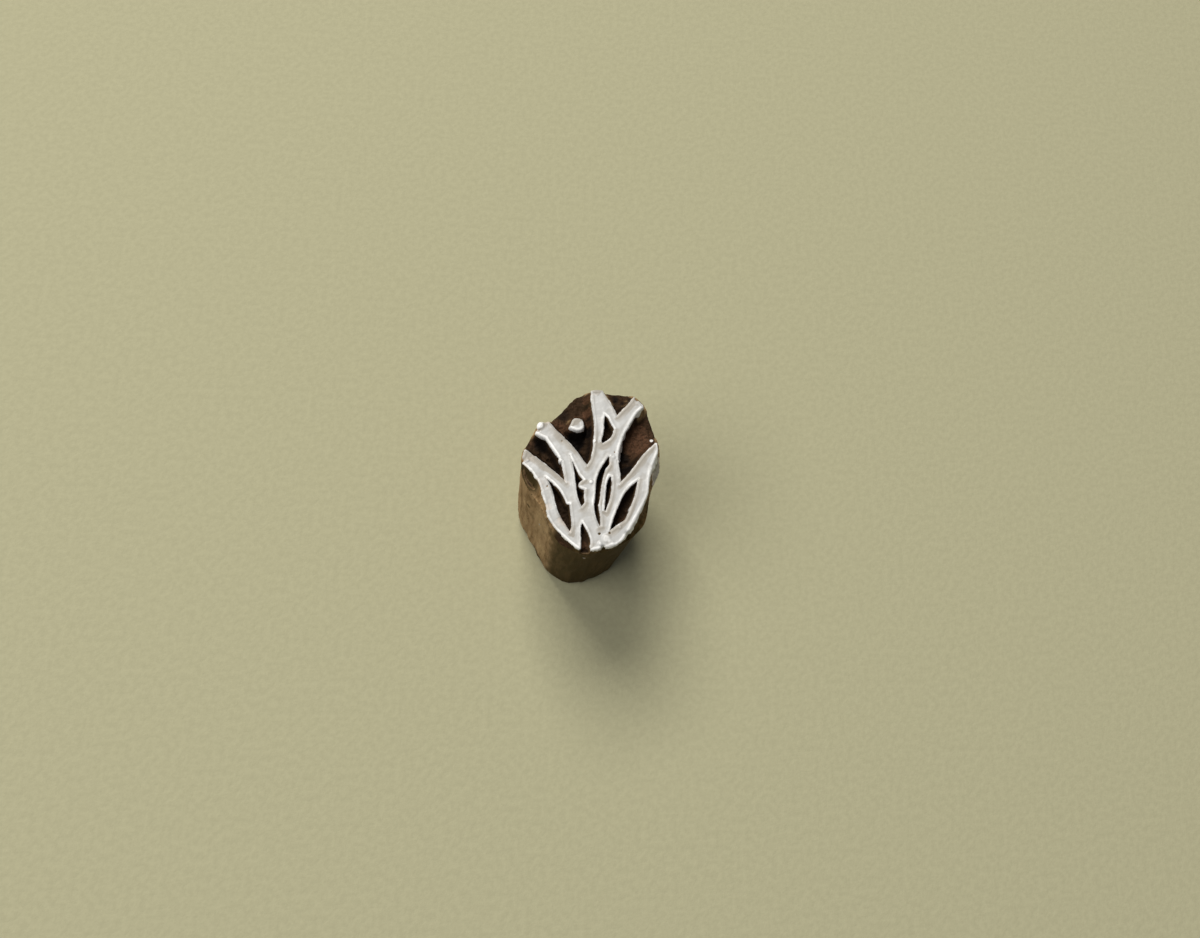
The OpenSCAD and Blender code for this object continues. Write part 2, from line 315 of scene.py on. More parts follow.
@dataclass(frozen=True)
class WoodFinish:
    """Close-grained hardwood, handled on its sides; staining and painted shade darken it where it is cut
    back.
    """

    light: Colour = (0.375, 0.245, 0.128)
    brown: Colour = (0.215, 0.128, 0.056)
    # dark tone for pores, grime, staining and painted shade
    shade: Colour = (0.054, 0.032, 0.0055)
    # gold streaks of the grain, and the colour of the painted highlight
    gold: Colour = (0.50, 0.345, 0.185)
    olive: Colour = (0.052, 0.036, 0.014)
    pocket: Colour = (0.030, 0.017, 0.0085)
    pocket_warm: Colour = (0.088, 0.043, 0.023)
    # nearly black, for dark stains and painted shade in the pockets
    black: Colour = (0.0065, 0.0045, 0.0035)
    ring_width: float = 2.3
    heart: tuple[float, float] = (-46.0, 31.0)
    relief_depth: float = 0.09
    specular: float = 0.06

    def grain(self, net: Net, place: Link) -> tuple[Link, Link, Link]:
        """The wood's figure, which runs up the block.

        Args:
            net: the material's nodes.
            place: the place in millimetres.

        Returns:
            The growth rings, the fine fibres and the pores, each from 0 to 1.
        """
        wander = net.noise(net.stretch(place, (1.0, 1.0, 0.25)), 0.11, 2.0)
        x, y, _ = net.parts(place)
        across, along = x - self.heart[0], y - self.heart[1]
        radius = (across * across + along * along) ** 0.5 + wander * 5.0
        turns = net.maths("SINE", radius * (2.0 * math.pi / self.ring_width))
        rings = net.band(turns, -0.6, 1.0)
        fibres = net.noise(net.stretch(place, (1.0, 1.0, 0.07)), 2.6, 5.0, 0.62)
        pores = net.band(net.noise(net.stretch(place, (1.0, 1.0, 0.13)), 4.6, 2.0, 0.5), 0.60, 0.70)
        return rings, fibres, pores

    def whittled(self, net: Net, place: Link, grain: tuple[Link, Link, Link], grime: Link) -> Link:
        """The colour of the block's sides, with their stains, the painted shade on the south and east and a
        painted highlight on the west.

        Args:
            net: the material's nodes.
            place: the place in millimetres.
            grain: the growth rings, the fibres and the pores.
            grime: where dirt has settled, from 0 to 1.

        Returns:
            The colour.
        """
        rings, fibres, pores = grain
        streaks = net.noise(net.stretch(place, (1.0, 1.0, 0.14)), 0.75)
        side = net.veil(self.light, self.brown, fibres * 0.75 + rings * 0.22, 0.25, 0.78)
        side = net.veil(side, self.brown, net.noise(place, 0.16), 0.42, 0.72, 0.45)
        side = net.veil(side, self.gold, streaks, 0.50, 0.68, 0.55)
        # painted highlight: gold where the pale mark lies, on the west side
        side = net.mix(net.mark("pale") * (0.35 + fibres * 0.6), side, self.gold)
        side = net.veil(side, self.shade, grime, 0.5, 0.8, 0.5)
        stain_and_shade_tone = net.veil(self.shade, self.brown, streaks * 0.7 + fibres * 0.3, 0.46, 0.66, 0.30)
        # darkens the sides by the shade mark: partly staining and partly painted shade on the south and east,
        # by the foot and below the rim
        side = net.veil(side, stain_and_shade_tone, net.mark("shade") + (grime - 0.5) * 0.7, 0.10, 0.95)
        return net.mix(pores * 0.55, side, self.shade)

    def cut_back(self, net: Net, place: Link, mottle: Link) -> Link:
        """The colour of the pockets, brown where they are open and nearly black where they have dark stains
        and where they are deep or narrow, the last as painted shade.

        Args:
            net: the material's nodes.
            place: the place in millimetres.
            mottle: the blotches left by the gouge, from 0 to 1.

        Returns:
            The colour.
        """
        fine = net.band(net.noise(place, 2.4, 6.0, 0.72, 1.0), 0.40, 0.62)
        tint = mottle * 1.3 + net.mark("warm") * 0.42 + fine * 0.34
        cut = net.veil(self.pocket, self.pocket_warm, tint, 0.80, 1.40)
        # nearly black by the dark mark: dark stains, painted shadows by the walls and painted shade that
        # grows with depth
        return net.veil(cut, self.black, net.mark("dark") + mottle * 0.5, 0.45, 1.15)

    def build(self) -> bpy.types.Material:
        """Makes the material.

        Returns:
            The material.
        """
        net = Net("carved_wood")
        place = net.place()
        grain = self.grain(net, place)
        _, fibres, pores = grain
        grime = net.noise(net.stretch(place, (1.0, 1.0, 0.4)), 0.45, 4.0, 0.6)
        mottle = net.noise(place, 0.95, 5.0, 0.7, 0.6) * 0.55 + net.noise(place, 3.2, 4.0, 0.65) * 0.45
        carved = net.mark("carved")
        colour = net.mix(carved, self.whittled(net, place, grain, grime), self.cut_back(net, place, mottle))
        colour = net.mix(net.mark("olive") * (0.55 + mottle * 0.6), colour, self.olive)
        roughness = 0.60 + grime * 0.16 + carved * 0.06
        tool = net.noise(place, 0.9, 2.0, 0.5)
        relief = fibres * 0.55 - pores * 0.5 + carved * (tool * 0.8 + mottle * 0.6) + 0.3
        return net.finish(colour, roughness, relief, self.relief_depth, self.specular)


@dataclass(frozen=True)
class PaintFinish:
    """Dried printing paint: a thin greyed film on the faces that print, thick and white along their edges,
    whiter on the south edges partly as a painted highlight and greyer on the north edges partly as painted
    shade.
    """

    white: Colour = (0.81, 0.80, 0.775)
    film: Colour = (0.445, 0.44, 0.422)
    rubbed: Colour = (0.30, 0.272, 0.228)
    cream: Colour = (0.62, 0.52, 0.44)
    relief_depth: float = 0.010
    specular: float = 0.5

    def build(self) -> bpy.types.Material:
        """Makes the material.

        Returns:
            The material.
        """
        net = Net("dried_paint")
        place = net.place()
        edge, worn, thin = net.mark("edge"), net.mark("worn"), net.mark("thin")
        clouds = net.noise(place, 0.34)
        grains = net.noise(place, 2.1, 4.0, 0.6)
        drag = net.noise(net.stretch(place, (1.0, 0.3, 1.0)), 1.5, 3.0, 0.6, 0.6)
        speckle = net.band(net.noise(place, 3.4, 1.0, 0.5), 0.67, 0.76)
        tone = net.noise(place, 0.55, 2.0, 0.5, 0.4)

        film = net.veil(self.film, self.rubbed, worn + (clouds - 0.5) * 0.7 + (drag - 0.5) * 0.3, 0.1, 1.0)
        colour = net.veil(film, self.white, edge + (clouds - 0.5) * 0.8 + (drag - 0.5) * 0.3, 0.26, 0.92)
        colour = net.veil(colour, self.rubbed, tone, 0.46, 0.70, 0.34)
        colour = net.veil(colour, self.rubbed, grains, 0.6, 0.9, 0.10)
        colour = net.mix(speckle * 0.22, colour, self.rubbed)
        colour = net.veil(colour, self.cream, thin + (grains - 0.5) * 0.5, 0.55, 1.0, 0.8)
        roughness = 0.30 + grains * 0.16 + worn * 0.12
        relief = grains * 0.25 + drag * 0.25 + clouds * 0.5 - speckle * 0.2
        return net.finish(colour, roughness, relief, self.relief_depth, self.specular)


@dataclass(frozen=True)
class PaleFloorFinish:
    """The plain pale floor, with a faint tooth so that it isn't glassy."""

    pale: Colour = (0.364, 0.346, 0.218)
    tint: Colour = (0.308, 0.292, 0.182)
    roughness: float = 0.9
    relief_depth: float = 0.12
    specular: float = 0.2

    def build(self) -> bpy.types.Material:
        """Makes the material.

        Returns:
            The material.
        """
        net = Net("pale_floor")
        tooth = net.noise(net.place(), 0.7, 4.0, 0.6)
        colour = net.veil(self.pale, self.tint, tooth, 0.3, 0.7, 0.5)
        return net.finish(colour, self.roughness, tooth, self.relief_depth, self.specular)


@dataclass(frozen=True)
class Patch:
    """A soft round place on top of the block: its middle, its radius and how strong it is at the middle."""

    x: float
    y: float
    radius: float
    amount: float = 1.0

    def weigh(self, points: np.ndarray) -> np.ndarray:
        """How strongly the patch is felt at each point."""
        away = np.hypot(points[:, 0] - self.x, points[:, 1] - self.y) / self.radius
        return self.amount * (1.0 - smooth_step(away, 0.35, 1.0))


@dataclass(frozen=True)
class Spot:
    """A soft round place anywhere on the block, for its sides. Height stretches it up and down."""

    x: float
    y: float
    z: float
    radius: float
    amount: float = 1.0
    height: float = 1.0

    def weigh(self, points: np.ndarray) -> np.ndarray:
        """How strongly the spot is felt at each point."""
        gap = (points - np.array([self.x, self.y, self.z])) / np.array([1.0, 1.0, self.height])
        return self.amount * (1.0 - smooth_step(np.linalg.norm(gap, axis=1) / self.radius, 0.3, 1.0))


@dataclass(frozen=True)
class Scoop:
    """The darkened place of a gouge hollow: its middle, half its length and width, and its way in degrees."""

    x: float
    y: float
    half_length: float
    half_width: float
    angle: float

    def weigh(self, points: np.ndarray) -> np.ndarray:
        """How strongly the hollow is felt at each point.

        Args:
            points: the points, in millimetres.

        Returns:
            One number from 0 to 1 for each.
        """
        turn = math.radians(self.angle)
        dx, dy = points[:, 0] - self.x, points[:, 1] - self.y
        along = (dx * math.cos(turn) + dy * math.sin(turn)) / self.half_length
        across = (dy * math.cos(turn) - dx * math.sin(turn)) / self.half_width
        return 1.0 - smooth_step(np.hypot(along, across), 0.35, 1.0)


@dataclass(frozen=True)
class Ripple:
    """Even waves in a surface: their height, the distance between them, and the seed of their draw."""

    height: float
    wavelength: float
    seed: int

    def weigh(self, points: np.ndarray) -> np.ndarray:
        """How far the waves lift each point."""
        return self.height * ripples(points, self.wavelength, self.seed)


def patches(*rows: tuple[float, ...]) -> tuple[Patch, ...]:
    """Patches from rows of their x, y, radius and amount."""
    return tuple(Patch(*row) for row in rows)


def spots(*rows: tuple[float, ...]) -> tuple[Spot, ...]:
    """Spots from rows of their x, y, z, radius, amount and height."""
    return tuple(Spot(*row) for row in rows)


def gather(places: Sequence[Any], points: np.ndarray) -> np.ndarray:
    """The sum of what several patches, spots, scoops or ripples weigh at each point.

    Args:
        places: what is summed.
        points: the points, in millimetres.

    Returns:
        One number for each point.
    """
    total = np.zeros(len(points))
    for place in places:
        total += place.weigh(points)
    return total


class Outline:
    """A set of straight edges seen from above, such as the rim of the block."""

    def __init__(self, edges: np.ndarray) -> None:
        """Keeps the edges.

        Args:
            edges: one row for each edge, with its two ends, in millimetres.
        """
        self.start = edges[:, 0]
        self.step = edges[:, 1] - edges[:, 0]
        self.length = np.linalg.norm(self.step, axis=1)
        self.run = np.concatenate([[0.0], np.cumsum(self.length)])

    def inside(self, points: np.ndarray) -> np.ndarray:
        """Finds the points within the outline, by counting the edges to their right.

        Args:
            points: the points, in millimetres.

        Returns:
            True for each point that lies within.
        """
        found = np.zeros(len(points), bool)
        for a, b in zip(self.start, self.start + self.step):
            crosses = (a[1] > points[:, 1]) != (b[1] > points[:, 1])
            if crosses.any():
                at = a[0] + (points[:, 1] - a[1]) * (b[0] - a[0]) / (b[1] - a[1] or 1.0)
                found ^= crosses & (points[:, 0] < at)
        return found

    def nearest(self, points: np.ndarray) -> tuple[np.ndarray, np.ndarray, np.ndarray]:
        """Finds the nearest place on the outline to each point.

        Args:
            points: the points, in millimetres.

        Returns:
            The distances, the nearest places and the numbers of their edges.
        """
        best = np.full(len(points), math.inf)
        place = np.zeros((len(points), 2))
        edge = np.zeros(len(points), int)
        for number, (a, step, length) in enumerate(zip(self.start, self.step, self.length)):
            share = np.clip((points - a) @ step / (length * length), 0.0, 1.0)
            foot = a + share[:, None] * step
            away = np.hypot(points[:, 0] - foot[:, 0], points[:, 1] - foot[:, 1])
            closer = away < best
            best[closer], place[closer], edge[closer] = away[closer], foot[closer], number
        return best, place, edge


class PackedBlock:
    """What the top's shape is taken from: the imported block's faces, outlines and heights."""

    LEVEL: float = 0.999  # the least share of a level face's normal that points up
    LEVEL_GAP: float = 0.01  # how far below the top a face still counts as the top
    LEAST_FLOOR: float = 1.0  # the least area, doubled, of the faces that make a floor
    LEAST_EDGE: float = 1e-4  # a shorter edge is left out
    INLAND: float = 0.02  # an edge of a slit's floor that is nearer to the side than this isn't a wall
    SIGHT: float = 5.0  # how far above the top the look straight down starts
    GRAIN: float = 1e3  # the steps in a millimetre when points are matched

    def __init__(self, node: bpy.types.Object) -> None:
        """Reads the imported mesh.

        Args:
            node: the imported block.
        """
        mesh = node.data
        mesh.calc_loop_triangles()
        self.points = np.array([v.co for v in mesh.vertices]) / MM
        self.triangles = np.array([t.vertices[:] for t in mesh.loop_triangles])
        self.tree = BVHTree.FromPolygons(self.points.tolist(), self.triangles.tolist())
        corners = self.points[self.triangles]
        cross = np.cross(corners[:, 1] - corners[:, 0], corners[:, 2] - corners[:, 0])
        area = np.linalg.norm(cross, axis=1)
        self.top = float(self.points[:, 2].max())
        height = corners[:, :, 2].mean(axis=1)
        level = (cross[:, 2] > self.LEVEL * area) & (height > self.top / 2.0)
        tiers = np.round(height, 2)
        size = {tier: area[level & (tiers == tier)].sum() for tier in np.unique(tiers[level])}
        floors = sorted(t for t in size if size[t] > self.LEAST_FLOOR and t < self.top - self.LEVEL_GAP)
        self.floor, self.slit_floors = float(floors[0]), floors[1:]
        self.side = self.ordered_section(self.top / 2.0)
        self.faces = self.rim_of(self.triangles[level & (height > self.top - self.LEVEL_GAP)])
        walls = self.rim_of(self.triangles[level & np.isin(tiers, self.slit_floors)])
        inland = self.side.nearest(walls.start + walls.step / 2.0)[0] > self.INLAND
        self.walls = Outline(np.stack([walls.start, walls.start + walls.step], axis=1)[inland])

    def rim_of(self, triangles: np.ndarray) -> Outline:
        """Finds the edges that only one of these triangles has, seen from above.

        Args:
            triangles: the numbers of their corners.

        Returns:
            The edges.
        """
        keys = np.round(self.points * self.GRAIN).astype(np.int64)
        _, first, same = np.unique(keys, axis=0, return_index=True, return_inverse=True)
        joined = same.reshape(-1)[triangles]
        pairs = np.sort(np.concatenate([joined[:, [0, 1]], joined[:, [1, 2]], joined[:, [2, 0]]]), axis=1)
        found, uses = np.unique(pairs, axis=0, return_counts=True)
        edges = self.points[first[found[uses == 1]]][:, :, :2]
        return Outline(edges[np.linalg.norm(edges[:, 1] - edges[:, 0], axis=1) > self.LEAST_EDGE])

    def ordered_section(self, height: float) -> Outline:
        """Cuts the block level, and puts the cut's edges in order round it.

        Args:
            height: the height of the cut.

        Returns:
            The edges, anticlockwise.
        """
        follows: dict[Face, np.ndarray] = {}
        place: dict[Face, np.ndarray] = {}
        corners = self.points[self.triangles]
        above = corners[:, :, 2] > height
        for triangle in corners[above.any(axis=1) & ~above.all(axis=1)]:
            ends = {}
            for a, b in zip(triangle, np.roll(triangle, -1, axis=0)):
                if (a[2] > height) != (b[2] > height):
                    share = (height - a[2]) / (b[2] - a[2])
                    ends[bool(a[2] > height)] = (a + share * (b - a))[:2]
            key = self.key_of(ends[True])
            follows[key], place[key] = ends[False], ends[True]
        start = key = next(iter(follows))
        ring = []
        while key != start or not ring:
            ring.append(place[key])
            key = self.key_of(follows[key])
        points = np.array(ring)
        points = points[np.linalg.norm(points - np.roll(points, 1, axis=0), axis=1) > 1.0 / self.GRAIN]
        after = np.roll(points, -1, axis=0)
        if (points[:, 0] * after[:, 1] - after[:, 0] * points[:, 1]).sum() < 0.0:
            points = points[::-1]
        return Outline(np.stack([points, np.roll(points, -1, axis=0)], axis=1))

    def key_of(self, point: np.ndarray) -> Face:
        """A point in whole thousandths, so that the ends of two edges can be matched."""
        return tuple(np.round(point * self.GRAIN).astype(int))

    def look(self, points: np.ndarray) -> tuple[np.ndarray, np.ndarray]:
        """Looks straight down at the block.

        Args:
            points: where to look, seen from above.

        Returns:
            The height under each point, and the way the block faces there.
        """
        down = Vector((0.0, 0.0, -1.0))
        heights = np.full(len(points), self.floor)
        facing = np.tile([0.0, 0.0, 1.0], (len(points), 1))
        for i, (x, y) in enumerate(points):
            hit = self.tree.ray_cast(Vector((x, y, self.top + self.SIGHT)), down)
            if hit[0] is not None:
                heights[i], facing[i] = hit[0].z, hit[1]
        return heights, facing


@dataclass
class Relief:
    """The carved top: its heights over a fine grid, what each place on it is, and how it lies."""

    block: PackedBlock
    spacing: float = 0.13
    snap: float = 0.4
    rim_step: float = 0.05
    rim_strip: float = 0.3
    top_gap: float = 0.02
    tier_gap: float = 0.006
    shoulder_blur: float = 0.12
    steep_blur: float = 0.35
    pocket_blur: float = 0.18
    edge_round: float = 0.24
    edge_drop: float = 0.09
    fine_wear: float = 0.10
    deep_wear: float = 0.26
    slit_slope: float = 8.0
    slit_ease: float = 0.12
    slit_sink: float = 0.1
    lip_step: float = 0.09
    foot_fill: float = 0.22
    mark_sink: float = 0.06
    rim_round: float = 0.45
    pocket_rim_drop: float = 0.25
    slit_rim_drop: float = 0.3
    shoulder_reach: float = 2.7
    level_tilt: float = 0.97
    outer_lean: float = 0.42
    wander: Sequence[Ripple] = (Ripple(0.035, 1.5, 3), Ripple(0.012, 0.5, 4))
    face_swell: Ripple = Ripple(0.02, 3.5, 5)
    pocket_marks: Ripple = Ripple(0.11, 1.9, 6)
    shoulder_marks: Ripple = Ripple(0.05, 1.9, 6)
    fine_marks: Ripple = Ripple(0.05, 0.8, 9)
    slit_marks: Sequence[Ripple] = (Ripple(0.06, 2.1, 8), Ripple(0.06, 0.8, 9))
    chips: Sequence[Patch] = patches(
        (2.2, -16.2, 0.75, 1.6), (3.2, -16.3, 0.5, 0.5), (7.1, -13.3, 0.9, 0.6), (9.3, 14.9, 0.7, 0.35),
        (-14.0, 1.0, 0.6, 0.4), (-10.9, 7.4, 0.5, 0.35), (5.4, -15.4, 0.7, 0.35),
    )
    lumps: Sequence[Patch] = patches(
        (-1.9, -3.6, 0.8, 1.6), (3.3, -0.1, 0.7, 0.9), (7.2, -8.0, 0.9, 0.8), (-10.7, 3.6, 0.5, 0.35),
        (-8.9, 2.5, 0.4, 0.3), (11.3, 5.2, 0.9, 0.3),
    )

    def __post_init__(self) -> None:
        """Lays out the grid, with points on the rim and on the edges of the raised faces, and carves it."""
        side = self.block.side
        low = side.start.min(axis=0) - 2.0 * self.spacing
        high = side.start.max(axis=0) + 2.0 * self.spacing
        xs = np.arange(low[0], high[0] + self.spacing, self.spacing)
        ys = np.arange(low[1], high[1] + self.spacing, self.spacing)
        self.shape = (len(ys), len(xs))
        points = np.stack([axis.ravel() for axis in np.meshgrid(xs, ys)], axis=1)
        away, self.rim_place, self.rim_edge = side.nearest(points)
        inside = side.inside(points)
        close = away <= self.spacing / 2.0
        points[close] = self.rim_place[close]
        self.loose = points.copy()
        to_face, on_face, _ = self.block.faces.nearest(points)
        self.on_edge = inside & (away > self.spacing) & (to_face < self.snap * self.spacing)
        points[self.on_edge] = on_face[self.on_edge]
        self.points = points
        self.kind = np.where(close, Lie.ON_RIM, np.where(inside, Lie.INSIDE, Lie.OUTSIDE))
        self.within = self.kind >= Lie.ON_RIM
        self.to_rim = np.where(self.kind == Lie.INSIDE, away, 0.0)
        self.seen = self.inward()
        self.survey()
        self.heights = self.carve()
        self.places = np.concatenate([self.points, self.heights[:, None]], axis=1)
        self.normals = self.surface_normals()

    def inward(self) -> np.ndarray:
        """Moves the points that are on or past the rim a step inside it, where the block can be seen.

        Returns:
            The moved points.
        """
        way = unit_rows(self.block.side.step)
        inner = np.stack([-way[:, 1], way[:, 0]], axis=1)
        moved = self.points.copy()
        near = (self.kind < Lie.INSIDE) | (self.to_rim < self.rim_step)
        moved[near] = self.rim_place[near] + self.rim_step * inner[self.rim_edge[near]]
        return moved

    def survey(self) -> None:
        """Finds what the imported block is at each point: a raised face, a slit, a pocket or the shoulder."""
        block, seen = self.block, self.seen
        self.packed, tilt = block.look(seen)
        self.packed[self.on_edge] = block.top
        self.raised = self.packed > block.top - self.top_gap
        self.narrow = np.zeros(len(seen), bool)
        for tier in block.slit_floors:
            self.narrow |= np.abs(self.packed - tier) < self.tier_gap
        loose = np.where(self.on_edge[:, None], self.loose, seen)
        to_face, place, _ = block.faces.nearest(loose)
        raised = np.where(self.on_edge, block.faces.inside(loose), self.raised)
        signed = np.where(raised, to_face, -to_face)
        self.outward = (place - loose) / np.where(np.abs(signed) > 1e-6, signed, 1.0)[:, None]
        self.to_face = np.where(self.on_edge, 0.0, signed)
        outward = unit_rows(self.rim_place - self.points)
        level = tilt[:, 2] > self.level_tilt
        lean = self.outer_lean * np.linalg.norm(tilt[:, :2], axis=1)
        outer = ((tilt[:, :2] * outward).sum(axis=1) > lean) | (self.to_rim < self.rim_strip)
        shoulder = ~self.raised & ~self.narrow & ~level & (self.to_rim < self.shoulder_reach) & outer
        self.shoulder = self.soften(shoulder, self.shoulder_blur, self.within) > 0.5
        self.pocket = ~self.raised & ~self.shoulder
        self.steep = self.soften(~level & ~self.raised, self.steep_blur, self.within)
        self.pocket_share = self.soften(self.pocket, self.pocket_blur, self.within)

    def soften(self, values: np.ndarray, reach: float, mask: np.ndarray) -> np.ndarray:
        """Blurs values over the grid, among the points of a mask only.

        Args:
            values: one number for each point of the grid.
            reach: the blur's spread, in millimetres.
            mask: the points that take part.

        Returns:
            The blurred values, unchanged outside the mask.
        """
        weight = mask.astype(float).reshape(self.shape)
        total = np.where(mask, values, 0.0).reshape(self.shape)
        for _ in range(max(1, round(2.0 * (reach / self.spacing) ** 2))):
            for axis in (0, 1):
                total = (np.roll(total, 1, axis) + 2.0 * total + np.roll(total, -1, axis)) / 4.0
                weight = (np.roll(weight, 1, axis) + 2.0 * weight + np.roll(weight, -1, axis)) / 4.0
        return np.where(mask, (total / np.maximum(weight, 1e-9)).ravel(), values)

    def carve(self) -> np.ndarray:
        """Works out the wood's height.

        Returns:
            The height at each point of the grid.
        """
        block, seen = self.block, self.seen
        ground = ~self.narrow & ~self.raised & self.within
        deep_share = smooth_step(-self.to_face, 0.1, 0.8)
        worn = self.soften(self.packed, self.fine_wear, ground) * (1.0 - deep_share)
        worn += self.soften(self.packed, self.deep_wear, ground) * deep_share
        wobble = gather(self.wander, seen)
        onset = smooth_step(-self.to_face, 0.1, 0.7)
        marks = np.where(self.pocket, self.pocket_marks.weigh(seen), self.shoulder_marks.weigh(seen))
        worn += (marks + self.fine_marks.weigh(seen) - self.mark_sink) * onset
        worn += gather(self.lumps, seen) * onset * self.pocket
        worn -= self.rim_wear(self.pocket_rim_drop) * self.pocket
        wall = block.top - self.fall(np.maximum(wobble - self.to_face, 0.0))
        worn = np.minimum(soft_max(wall, worn, self.foot_fill), block.top - self.edge_drop)
        edge = np.clip(1.0 - np.abs(self.to_face + wobble) / self.edge_round, 0.0, 1.0) ** 2
        face = block.top - self.edge_drop * edge + self.face_swell.weigh(seen)
        heights = np.where(self.raised, face, worn)
        heights[self.narrow] = self.slit_heights(wobble[self.narrow])
        return heights - gather(self.chips, seen) * smooth_step(heights - block.floor, 0.0, 1.0)

    def rim_wear(self, depth: float) -> np.ndarray:
        """How far the ground drops towards the rim, at each point of the grid."""
        return depth * np.clip(1.0 - self.to_rim / self.rim_round, 0.0, 1.0) ** 2

    def fall(self, away: np.ndarray) -> np.ndarray:
        """How far a steep wall has fallen below its face.

        Args:
            away: the distance from the edge of the face, seen from above.

        Returns:
            The drop at each distance.
        """
        start = 2.0 * self.edge_drop / self.edge_round
        ease = self.slit_ease
        return self.edge_drop + np.where(
            away < ease, start * away + (self.slit_slope - start) * away ** 2 / (2.0 * ease),
            self.slit_slope * away - (self.slit_slope - start) * ease / 2.0)

    def slit_heights(self, wobble: np.ndarray) -> np.ndarray:
        """The heights in the slits, eyes and notch, whose walls are nearly upright.

        Args:
            wobble: how far the foot of the wall strays at each point.

        Returns:
            The height at each point of the slits.
        """
        here = self.seen[self.narrow]
        away, place, _ = self.block.walls.nearest(here)
        lip, _ = self.block.look(place + self.lip_step * unit_rows(place - here))
        floor = self.packed[self.narrow] - self.slit_sink + gather(self.slit_marks, here)
        floor += gather(self.lumps, here) - self.rim_wear(self.slit_rim_drop)[self.narrow]
        wall = lip - self.fall(np.maximum(away + wobble, 0.0))
        return np.minimum(soft_max(wall, floor, self.foot_fill), lip - self.edge_drop)

    def surface_normals(self) -> np.ndarray:
        """The way the surface faces.

        Returns:
            The normal at each point of the grid.
        """
        grid = self.places.reshape(*self.shape, 3)
        cell = np.cross(grid[1:, 1:] - grid[:-1, :-1], grid[1:, :-1] - grid[:-1, 1:])
        total = np.zeros_like(grid)
        for rows in (slice(0, -1), slice(1, None)):
            for columns in (slice(0, -1), slice(1, None)):
                total[rows, columns] += cell
        return unit_rows(total.reshape(-1, 3))

    def cells(self, state: np.ndarray) -> list[Face]:
        """The grid's cells within a shape, cut across the corner where one of the four is outside it.

        Args:
            state: how each point of the grid lies against the shape.

        Returns:
            The corners of each face, anticlockwise.
        """
        rows, columns = self.shape
        index = np.arange(rows * columns).reshape(rows, columns)
        quads = np.stack([index[:-1, :-1], index[:-1, 1:], index[1:, 1:], index[1:, :-1]], axis=-1)
        quads = quads.reshape(-1, 4)
        corners = state[quads]
        out = (corners == Lie.OUTSIDE).sum(axis=1)
        whole = (out == 0) & (corners == Lie.INSIDE).any(axis=1)
        faces = [tuple(quad) for quad in quads[whole].tolist()]
        for quad, corner in zip(quads[out == 1].tolist(), corners[out == 1].tolist()):
            gone = corner.index(Lie.OUTSIDE)
            if corner[(gone + 2) % 4] == Lie.INSIDE:
                faces.append(tuple(quad[(gone + i) % 4] for i in (1, 2, 3)))
        return faces


class MeshBuilder:
    """Collects points, faces and the numbers that the points carry, and makes one mesh of them."""

    def __init__(self) -> None:
        """Starts empty."""
        self.points: list[np.ndarray] = []
        self.faces: list[Face] = []
        self.marks: dict[str, list[np.ndarray]] = {}
        self.count = 0

    def add_points(self, points: np.ndarray, marks: Marks) -> int:
        """Adds points and what they carry.

        Args:
            points: their places, in millimetres.
            marks: a number for each point under each name.

        Returns:
            The number of the first new point.
        """
        first = self.count
        self.points.append(points)
        for name, values in marks.items():
            self.marks.setdefault(name, []).append(values)
        self.count += len(points)
        return first

    def make(self, name: str, material: bpy.types.Material) -> bpy.types.Object:
        """Makes the object, smooth shaded, without the points that no face uses.

        Args:
            name: the object's name.
            material: its material.

        Returns:
            The object.
        """
        places = np.concatenate(self.points) * MM
        used = np.zeros(len(places), bool)
        used[np.fromiter((i for face in self.faces for i in face), int)] = True
        number = np.cumsum(used) - 1
        mesh = bpy.data.meshes.new(name)
        mesh.from_pydata(places[used].tolist(), [], [[int(number[i]) for i in face] for face in self.faces])
        for mark, values in self.marks.items():
            layer = mesh.attributes.new(mark, "FLOAT", "POINT")
            layer.data.foreach_set("value", np.concatenate(values)[used].astype(np.float32))
        mesh.materials.append(material)
        mesh.shade_smooth()
        mesh.validate()
        thing = bpy.data.objects.new(name, mesh)
        bpy.context.scene.collection.objects.link(thing)
        return thing


def hand_over(piece: bpy.types.Object, nodes: Sequence[str]) -> bpy.types.Object:
    """Puts a finished piece on the body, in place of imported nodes, and reports it.

    Args:
        piece: the finished piece.
        nodes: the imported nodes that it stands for.

    Returns:
        The piece.
    """
    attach(piece, "root")
    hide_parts(*nodes)
    piece.data.calc_loop_triangles()
    LOG.info("%s: %d triangles, for %s", piece.name, len(piece.data.loop_triangles), ", ".join(nodes))
    return piece


